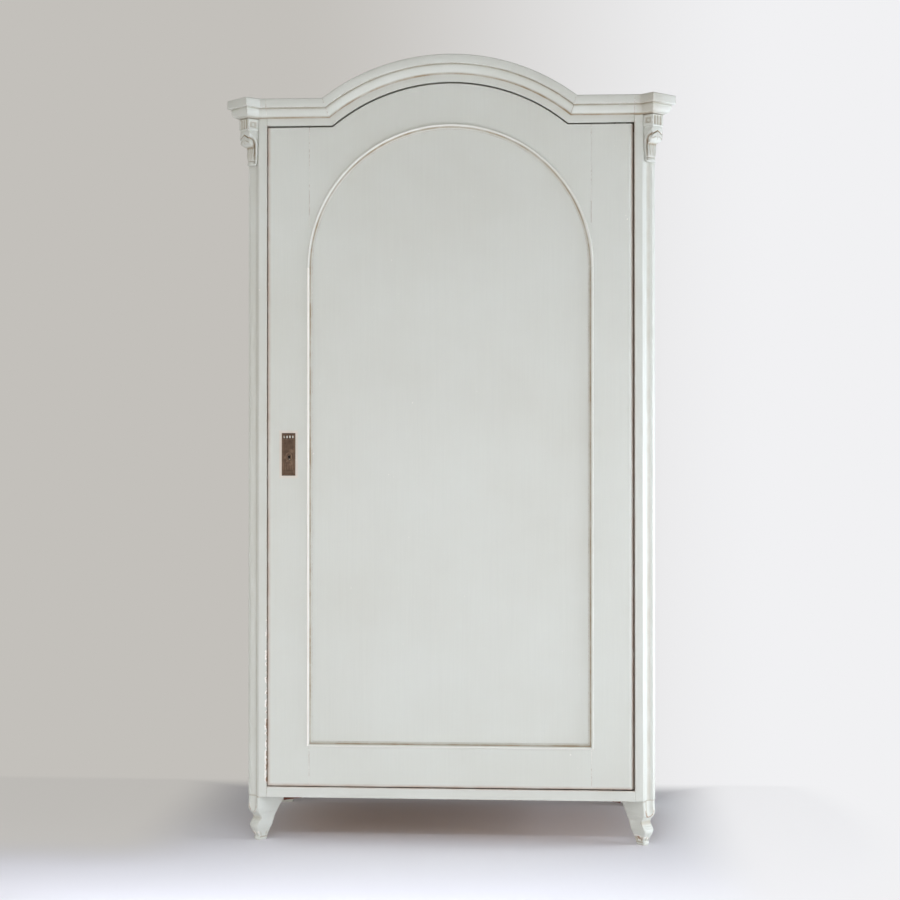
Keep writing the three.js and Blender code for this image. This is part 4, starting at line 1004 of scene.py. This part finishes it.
# Section of the planted moulding, from its outer edge to the panel: shares of its width, of its
# rise (below zero) or of the panel's depth (above zero), and the grime and bare ground there. The
# bare ground is white, and on the bead it is also a painted highlight.
MOULDING_SHARES = [
    (0, 0, 0.1, 0), (0.015, -0.36, 0, 0), (0.067, -0.76, 0, 0.6), (0.14, -0.96, 0, 1),
    (0.22, -1, 0, 1), (0.33, -0.91, 0, 1), (0.41, -0.69, 0, 0.6), (0.47, -0.45, 0.1, 0.1),
    (0.52, -0.2, 0.6, 0), (0.58, 0.12, 0.95, 0), (0.63, 0.27, 0.95, 0), (0.68, 0.25, 0.9, 0),
    (0.76, 0.43, 0.5, 0), (0.84, 0.65, 0.12, 0), (0.93, 0.77, 0.2, 0), (1, 0.8, 0.45, 0),
    (1, 1, 0.6, 0)]


def moulding_section():
    """(inset, depth, grime, ground) of the planted moulding, closed behind against the frame."""
    width = high("moulding_bottom").z - low("moulding_bottom").z
    rise = FRONT_Y - low("moulding_arch").y
    fall = low("door_panel").y - FRONT_Y
    lap = 6 * MM + FIT
    return [(width * across, depth * (rise if depth < 0 else fall), *marks)
            for across, depth, *marks in MOULDING_SHARES] + [(lap, fall, 0.6, 0), (lap, 0, 0.6, 0)]


class CABINET_OT_door(bpy.types.Operator):
    """Rounds the edges of the door and plants the moulding round its panel"""
    bl_idname = "cabinet.door"
    bl_label = "Door"

    def execute(self, context):
        for name in ("stile_lock", "stile_hinge", "rail_top", "rail_bottom"):
            piece = eased_copy(f"door_{name}", sizes("door").door_easing, door_edge, sagged)
            hang(piece, f"door_{name}", "painted_pine_z")

        def arch(point, share):
            radius, angle = MOULDING_HALF - point[0], math.pi * share
            return (radius * math.cos(angle), FRONT_Y + point[1],
                    SPRING_Z + radius * math.sin(angle))

        def upright(side):
            return lambda point, share: (
                side * (MOULDING_HALF - point[0]), FRONT_Y + point[1],
                between(MOULDING_FOOT_Z + point[0], SPRING_Z, share))

        def bottom(point, share):
            x = (MOULDING_HALF - point[0]) * (2 * share - 1)
            return x, FRONT_Y + point[1], MOULDING_FOOT_Z + point[0]

        # name, path, steps, how far it is rubbed to the white ground, which is strongest on the
        # left upright as a painted highlight where the bead faces the light, and the direction of
        # its wood
        for name, at, steps, bare, grain in (
                ("arch", arch, 128, 0.35, "z"), ("left", upright(-1), 60, 0.95, "z"),
                ("right", upright(1), 60, 0.15, "z"), ("bottom", bottom, 40, 0.35, "x")):
            piece = run(f"moulding_{name}_planted", moulding_section(), at, steps, bare)
            hang(piece, f"moulding_{name}", f"painted_pine_{grain}")
        return {"FINISHED"}


# Escutcheon

KEY_X = 53 * MM - DOOR_HALF
KEY_Z = DOOR_BOTTOM + 817 * MM
# Paint-filled beads of the stamping, in millimetres: place across and up, half width and height
BEADS = ((-10.8, 96.5, 2.3, 4.4), (-3.6, 96.5, 2.3, 4.4), (3.6, 96.5, 2.3, 4.4),
         (10.8, 96.5, 2.3, 4.4), (-4.2, 35.5, 1.8, 2.0), (4.2, 35.5, 1.8, 2.0))


def key_gap(x, z):
    """Distance from the outline of the keyhole, negative inside it."""
    round_part = math.hypot(x - KEY_X, z - KEY_Z) - 3.5 * MM
    slot = max(abs(x - KEY_X) - 1.5 * MM, abs(z - KEY_Z + 4 * MM) - 4 * MM)
    return min(round_part, slot)


def plate_relief(across, up):
    """Height of the stamping from 0 to 1, and how much paint it has caught. across runs from the
    middle of the plate and up from its foot, both in millimetres."""
    half, tall, key_up = 17.0, 106.0, 47.0
    edge = min(half - abs(across), up, tall - up)
    height = 0.30 + 0.6 * bump(edge, 1.3, 1.3) + 0.4 * bump(edge, 4.0, 0.8)
    caught = 0.45 * bump(edge, 2.6, 0.8)
    for middle, level, wide, high_half in BEADS:
        bead = max(0.0, 1 - ((across - middle) / wide) ** 2 - ((up - level) / high_half) ** 2)
        height += 0.8 * math.sqrt(bead)
        caught += (0.95 if up > 60 else 0.45) * ramp(bead, 0.05, 0.6)
    for line in (90.0, 11.0, 7.5):
        height += 0.5 * bump(up, line, 1.1)
    r = math.hypot(across, (up - key_up) / 1.35)
    height += 0.7 * bump(r, 7.2, 1.5)
    if edge > 4.8:
        turn = math.atan2(up - key_up, across)
        petals = max(0.0, math.cos(3 * (turn - math.pi / 2) + 0.12 * r))
        height += 0.4 * petals * window(r, 8.4, 9.6, 13 + 3 * petals, 15 + 3 * petals)
        curl = bump(abs(across) - 7.5 + 0.02 * (up - 70) ** 2, 0, 1.2)
        height += 0.15 * curl * window(up, 62, 66, 80, 84)
        reed = max(0.0, math.sin(math.pi * (across + half) / 2.13)) ** 1.5
        height += 0.6 * reed * window(up, 13, 15, 29, 31)
    return clamp(height, 0, 1.3), clamp(caught)


def escutcheon():
    """The plate as a fine grid raised by its stamping, pierced by the keyhole, with its sides."""
    relief = sizes("lock").relief
    columns, rows = 76, 228
    size = PLATE_HIGH - PLATE_LOW
    work = bmesh.new()
    raised = work.verts.layers.float.new("raised")
    caught = work.verts.layers.float.new("caught")
    grid = []
    for j in range(rows + 1):
        grid.append([])
        for i in range(columns + 1):
            across, up = size.x * i / columns, size.z * j / rows
            height, paint = plate_relief((across - size.x / 2) / MM, up / MM)
            vert = work.verts.new(
                (PLATE_LOW.x + across, PLATE_LOW.y + relief * (0.45 - height), PLATE_LOW.z + up))
            vert[raised], vert[caught] = height, paint
            grid[j].append(vert)
    for j in range(rows):
        for i in range(columns):
            middle = (grid[j][i].co + grid[j + 1][i + 1].co) / 2
            if key_gap(middle.x, middle.z) > 0:
                work.faces.new(
                    (grid[j][i], grid[j][i + 1], grid[j + 1][i + 1], grid[j + 1][i]))
    loose = [vert for vert in work.verts if not vert.link_faces]
    bmesh.ops.delete(work, geom=loose, context="VERTS")
    rim = [edge for edge in work.edges if edge.is_boundary]
    step = 0.05 * MM
    for vert in {v for edge in rim for v in edge.verts}:
        for _ in range(6):
            gap = key_gap(vert.co.x, vert.co.z)
            if gap > 2 * MM:
                break
            slope = Vector((key_gap(vert.co.x + step, vert.co.z) - gap, 0,
                            key_gap(vert.co.x, vert.co.z + step) - gap))
            if slope.length:
                vert.co -= slope.normalized() * gap
    for item in bmesh.ops.extrude_edge_only(work, edges=rim)["geom"]:
        if isinstance(item, bmesh.types.BMVert):
            item.co.y = PLATE_HIGH.y
    bmesh.ops.recalc_face_normals(work, faces=work.faces)
    return from_bmesh("escutcheon_plate_stamping", work)


class CABINET_OT_escutcheon(bpy.types.Operator):
    """Stamps the brass plate round the keyhole"""
    bl_idname = "cabinet.escutcheon"
    bl_label = "Escutcheon"

    def execute(self, context):
        plate = escutcheon()
        smooth(plate, STAMPED_SHARP)
        hang(plate, "escutcheon_plate", "stamped_brass")
        return {"FINISHED"}


# Fastenings: nails in the back boards and screws in the ironwork

def fastening_tree(name, slotted):
    """Geometry Nodes that set a nail or a slotted screw on each point, facing its own way."""
    tree = bpy.data.node_groups.new(name, "GeometryNodeTree")
    for label, kind in (("Points", "Geometry"), ("Head Diameter", "Float"),
                        ("Head Height", "Float"), ("Seed", "Int"), ("Finish", "Material")):
        tree.interface.new_socket(label, in_out="INPUT", socket_type=f"NodeSocket{kind}")
    tree.interface.new_socket("Fastenings", in_out="OUTPUT", socket_type="NodeSocketGeometry")
    points, diameter, height, seed, finish = put(tree, "NodeGroupInput").node.outputs[:5]
    radius = put(tree, "Math MULTIPLY", (diameter, 0.5))
    if slotted:
        disc = put(tree, "GeometryNodeMeshCylinder", {
            "Vertices": 20, "Radius": radius, "Depth": height})
        long, wide = (put(tree, "Math MULTIPLY", (radius, share)) for share in (3.0, 0.3))
        bar = put(tree, "GeometryNodeMeshCube", [put(tree, "CombineXYZ", (long, wide, height))])
        lift = put(tree, "CombineXYZ", {2: put(tree, "Math MULTIPLY", (height, 0.55))})
        raised = put(tree, "GeometryNodeTransform", {"Geometry": bar, "Translation": lift})
        head = put(tree, "GeometryNodeMeshBoolean DIFFERENCE", (disc, raised))
    else:
        ball = put(tree, "GeometryNodeMeshUVSphere", {
            "Segments": 14, "Rings": 8, "Radius": radius})
        flat = put(tree, "Math DIVIDE", (height, diameter))
        head = put(tree, "GeometryNodeTransform", {
            "Geometry": ball, "Scale": put(tree, "CombineXYZ", (1.0, 1.0, flat))})
    facing = put(tree, "GeometryNodeInputNamedAttribute", {"Name": "facing"}, "Attribute",
                 data_type="FLOAT_VECTOR")
    upright = put(tree, "FunctionNodeAlignRotationToVector", {"Vector": facing}, axis="Z")
    spin = put(tree, "FunctionNodeRandomValue", {2: 0.0, 3: math.pi, "Seed": seed}, 1,
               data_type="FLOAT")
    turned = put(tree, "FunctionNodeRotateRotation", {
        "Rotation": upright, "Rotate By": put(tree, "CombineXYZ", {2: spin})},
        rotation_space="LOCAL")
    heads = put(tree, "GeometryNodeInstanceOnPoints", {
        "Points": points, "Instance": head, "Rotation": turned})
    solid = put(tree, "GeometryNodeRealizeInstances", {"Geometry": heads})
    put(tree, "NodeGroupOutput", [
        put(tree, "GeometryNodeSetMaterial", {"Geometry": solid, "Material": finish})])
    return tree


def fastenings(name, body, points, slotted, diameter, height, seed):
    """Sets fastenings on (place, facing) points and turns them into one plain mesh."""
    mesh = bpy.data.meshes.new(name)
    mesh.from_pydata([place for place, _ in points], [], [])
    layer = mesh.attributes.new("facing", "FLOAT_VECTOR", "POINT")
    layer.data.foreach_set("vector", [c for _, facing in points for c in facing])
    holder = new_object(f"{name}_points", mesh)
    modifier = holder.modifiers.new("fastenings", "NODES")
    modifier.node_group = fastening_tree(f"{name}_tree", slotted)
    values = {"Head Diameter": diameter, "Head Height": height, "Seed": seed,
              "Finish": finish_named("browned_iron")}
    for socket in modifier.node_group.interface.items_tree:
        if socket.in_out == "INPUT" and socket.name in values:
            modifier[socket.identifier] = values[socket.name]
    made = plain_mesh(holder)
    bpy.data.objects.remove(holder)
    made.name = name
    piece = new_object(name, made)
    smooth(piece)
    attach(piece, body)


def spaced(start, end, spacing):
    """Evenly spaced places between two ends, about a spacing apart."""
    count = max(1, round(abs(end - start) / spacing))
    return [between(start, end, i / count) for i in range(count + 1)]


def nail_points():
    """Nails along the top and base rails behind, and up the outer edges of the back boards."""
    spacing = sizes("lock").nail_spacing
    margin = 9 * MM
    rows = [(low(rail).z + high(rail).z) / 2 for rail in ("base_rail_rear", "top_rail_rear")]
    places = []
    for board in ("back_board_1", "back_board_2", "back_board_3"):
        for z in rows:
            places += [(x, z) for x in spaced(
                low(board).x + 3 * margin, high(board).x - 3 * margin, spacing)]
    for _, side in SIDES:
        places += [(side * (high("back_board_3").x - margin / 2), z)
                   for z in spaced(rows[0] + spacing, rows[1] - spacing, 2 * spacing)]
    return [((x, BACK_Y, z), (0, 1, 0)) for x, z in places]


def screw_points(inset, plates):
    """Screws inset from the top and foot of upright plates. Each plate is its node, the places of
    its screws as shares of its depth and width, and the way that they face."""
    points = []
    for node, x_share, y_share, facing in plates:
        start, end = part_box(node)
        points += [((between(start.x, end.x, x_share), between(start.y, end.y, y_share), z), facing)
                   for z in (start.z + inset, end.z - inset)]
    return points


def screw_points_door():
    """Screws in the lock's cover and edge plate and in the pivot plates."""
    inset = 6 * MM
    start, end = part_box("lock_cover")
    points = [((x, end.y, z), (0, 1, 0)) for x in (start.x + inset, end.x - inset)
              for z in (start.z + inset, end.z - inset)]
    points += screw_points(inset, [("lock_case", 0, 0.5, (-1, 0, 0))])
    for node, z, way in (
            ("pivot_plate_bottom", DOOR_BOTTOM, -1), ("pivot_plate_top", DOOR_SHOULDER, 1)):
        start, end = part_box(node)
        points += [((between(start.x, end.x, share), (start.y + end.y) / 2, z), (0, 0, way))
                   for share in (0.15, 0.45)]
    return points


def screw_points_carcass():
    """Screws in the striking plate and the socket plates."""
    inset = 8 * MM
    points = screw_points(inset, [("strike_plate", 1, 0.5, (1, 0, 0))])
    for node, way in (("pivot_socket_bottom", 1), ("pivot_socket_top", -1)):
        start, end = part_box(node)
        z = end.z if way > 0 else start.z
        points.append(((start.x + inset, (start.y + end.y) / 2, z), (0, 0, way)))
    return points


class CABINET_OT_fastenings(bpy.types.Operator):
    """Drives the nails in the back boards and the screws in the ironwork"""
    bl_idname = "cabinet.fastenings"
    bl_label = "Fastenings"

    def execute(self, context):
        nail, screw = sizes("lock").nail_head, sizes("lock").screw_head
        fastenings("back_board_nails", "carcass", nail_points(), False, nail, 1.6 * MM, 3)
        fastenings("plate_screws", "carcass", screw_points_carcass(), True, screw, 0.9 * MM, 5)
        fastenings("lock_screws", "door", screw_points_door(), True, screw, 0.9 * MM, 8)
        return {"FINISHED"}


class CABINET_OT_finishes(bpy.types.Operator):
    """Gives every solid that keeps its own shape its finish"""
    bl_idname = "cabinet.finishes"
    bl_label = "Finishes"

    def execute(self, context):
        finishes = {"aged_brass": "stamped_brass", "dark_iron": "browned_iron"}
        for node, piece in NODES.items():
            if not piece.hide_render:
                kind = piece.data.materials[0].name
                finish = finishes.get(kind) or f"{kind}_{grain_of(node)}"
                for slot in piece.material_slots:
                    slot.material = finish_named(finish)
        return {"FINISHED"}


# Stage: floor, backdrop, lights and camera

# Place and aim of each lamp, its width and height, its colour and its spread in degrees
LAMPS = {
    "window": ((3.05, -0.42, 0.45), (0.3, FRONT_Y, 0.4), (1.6, 1.3), "#EEF5FF", 180),
    "front": ((0.5, -4.9, 0.5), (0, FRONT_Y, 0.6), (3.2, 1.6), "#FFFCF8", 180),
    "reflector": ((-2.6, -1.5, 0.8), (0, FRONT_Y, 0.6), (1.6, 2.0), "#FFF6EC", 180),
    "low": ((0.6, -2.2, 1.9), (0.6, -1.5, 0), (4.2, 0.5), "#EEF3FF", 62),
}


def backdrop_colour(tree, stage, direction):
    """The backdrop, darker on the left and paler on the right of the cabinet: a painted shade on
    the left and a painted light on the right.
    """
    across = put(tree, "SeparateXYZ", [direction], "X")
    share = put(tree, "MapRange", (across, -0.16, 0.12), interpolation_type="SMOOTHSTEP")
    return put(tree, "Mix", {0: share, MIX_A: stage.backdrop, MIX_B: stage.backdrop_right},
               MIXED, data_type="RGBA")


def floor_material(stage, eye):
    """Pale painted boards that fade into the backdrop away from the cabinet and beside it."""
    material = bpy.data.materials.new("pale_floor")
    tree, coords = start(material)
    sight = put(tree, "VectorMath SUBTRACT", (coords, eye))
    direction = put(tree, "VectorMath NORMALIZE", [sight])
    glow = put(tree, "Emission", [backdrop_colour(tree, stage, direction)])
    from_left = put(tree, "VectorMath ADD", (coords, (0.35, 0, 0)))
    far = put(tree, "VectorMath LENGTH", [from_left], "Value")
    x, y, _ = put(tree, "SeparateXYZ", [coords]).node.outputs
    # where fade is high the floor glows for the camera with the backdrop's colour instead of being
    # lit: far off, behind the cabinet, as a painted light on the floor right beside it, and as a
    # painted shade on the floor to its left, where the backdrop is darker
    away, beside, painted_shade_left, abreast, behind = (
        put(tree, "MapRange", limits, interpolation_type="SMOOTHSTEP") for limits in (
            (far, 0.85, 1.5), (x, 0.5, 0.76, 0.0, 0.9), (x, -0.85, -0.56, 0.85, 0.0),
            (y, -0.55, -0.2), (y, BACK_Y + 0.1, BACK_Y + 0.3)))
    fade = put(tree, "Math MULTIPLY", (painted_shade_left, abreast))
    for other in (beside, away, behind):
        fade = put(tree, "Math MAXIMUM", (fade, other))
    path = put(tree, "LightPath").node.outputs
    seen = put(tree, "Math MAXIMUM", (path["Is Camera Ray"], path["Is Glossy Ray"]))
    put(tree, "OutputMaterial", [put(tree, "MixShader", (
        put(tree, "Math MULTIPLY", (fade, seen)), put(tree, "BsdfDiffuse", [stage.floor]), glow))])
    return material


def sky(stage):
    """Soft light from all round, weaker from behind as beside a wall, with the backdrop's colour
    where it is looked at."""
    world = bpy.data.worlds.new("studio")
    tree, direction = start(world, "Generated")
    behind = put(tree, "SeparateXYZ", [direction], "Y")
    strength = put(tree, "MapRange", (behind, -0.3, 0.5, 1.15 * stage.sky, 0.4 * stage.sky))
    light = put(tree, "Background", (shade("#FFFFFF"), strength))
    backdrop = put(tree, "Background", [backdrop_colour(tree, stage, direction)])
    path = put(tree, "LightPath").node.outputs
    seen = path["Is Camera Ray"]
    for ray in ("Is Glossy Ray", "Is Transmission Ray"):
        seen = put(tree, "Math MAXIMUM", (seen, path[ray]))
    put(tree, "OutputWorld", [put(tree, "MixShader", (seen, light, backdrop))])
    bpy.context.scene.world = world


def aim(thing, place, ahead):
    thing.location = place
    thing.rotation_euler = ahead.to_track_quat("-Z", "Y").to_euler()


class CABINET_OT_stage(bpy.types.Operator):
    """Lays the floor and sets the lights and the camera"""
    bl_idname = "cabinet.stage"
    bl_label = "Stage"

    def execute(self, context):
        stage = sizes("stage")
        context.scene.view_settings.view_transform = "Standard"
        eye = Vector((stage.distance * math.sin(stage.turn),
                      FRONT_Y - stage.distance * math.cos(stage.turn), stage.eye_height))
        work = bmesh.new()
        bmesh.ops.create_circle(work, cap_ends=True, radius=14, segments=96)
        floor = from_bmesh("floor", work)
        floor.data.materials.append(floor_material(stage, eye))
        sky(stage)
        for name, (place, target, size, code, spread) in LAMPS.items():
            lamp = bpy.data.lights.new(name, "AREA")
            lamp.energy, lamp.color = getattr(stage, f"{name}_power"), shade(code)
            lamp.shape, lamp.spread = "RECTANGLE", math.radians(spread)
            lamp.size, lamp.size_y = size
            aim(new_object(name, lamp), place, Vector(target) - Vector(place))
        lens = bpy.data.cameras.new("camera")
        lens.lens, lens.sensor_width, lens.shift_y = stage.lens, 36, stage.shift
        ahead = Vector((stage.aim_side, FRONT_Y, stage.eye_height)) - eye
        ahead.z = ahead.length * math.tan(stage.tilt)
        context.scene.camera = new_object("camera", lens)
        aim(context.scene.camera, eye, ahead)
        return {"FINISHED"}


class CABINET_PT_panel(bpy.types.Panel):
    """Sizes, colours and steps of the cabinet"""
    bl_label = "Cabinet"
    bl_idname = "CABINET_PT_panel"
    bl_space_type = "VIEW_3D"
    bl_region_type = "UI"
    bl_category = "Cabinet"

    def draw(self, context):
        for group in GROUPS:
            box = self.layout.box()
            box.label(text=group.capitalize())
            settings = sizes(group)
            for key in settings.bl_rna.properties.keys():
                if key not in ("rna_type", "name"):
                    box.prop(settings, key)
        for operator in OPERATORS:
            self.layout.operator(operator.bl_idname)


GROUPS = {
    "stage": StageSizes, "paint": PaintFinish, "wood": WoodFinish, "metal": MetalFinish,
    "cornice": CorniceSizes, "carving": CarvingSizes, "door": DoorSizes, "lock": LockSizes,
}
OPERATORS = (
    CABINET_OT_stage, CABINET_OT_cornice, CABINET_OT_corbels, CABINET_OT_feet, CABINET_OT_carcass,
    CABINET_OT_door, CABINET_OT_escutcheon, CABINET_OT_fastenings, CABINET_OT_finishes,
)


def register():
    for group, settings in GROUPS.items():
        bpy.utils.register_class(settings)
        setattr(bpy.types.Scene, f"cabinet_{group}", bpy.props.PointerProperty(type=settings))
    for kind in (*OPERATORS, CABINET_PT_panel):
        bpy.utils.register_class(kind)


def unregister():
    for kind in (CABINET_PT_panel, *reversed(OPERATORS)):
        bpy.utils.unregister_class(kind)
    for group, settings in GROUPS.items():
        delattr(bpy.types.Scene, f"cabinet_{group}")
        bpy.utils.unregister_class(settings)


def main():
    register()
    for operator in OPERATORS:
        getattr(bpy.ops.cabinet, operator.bl_idname.partition(".")[2])()


if __name__ == "__main__":
    main()
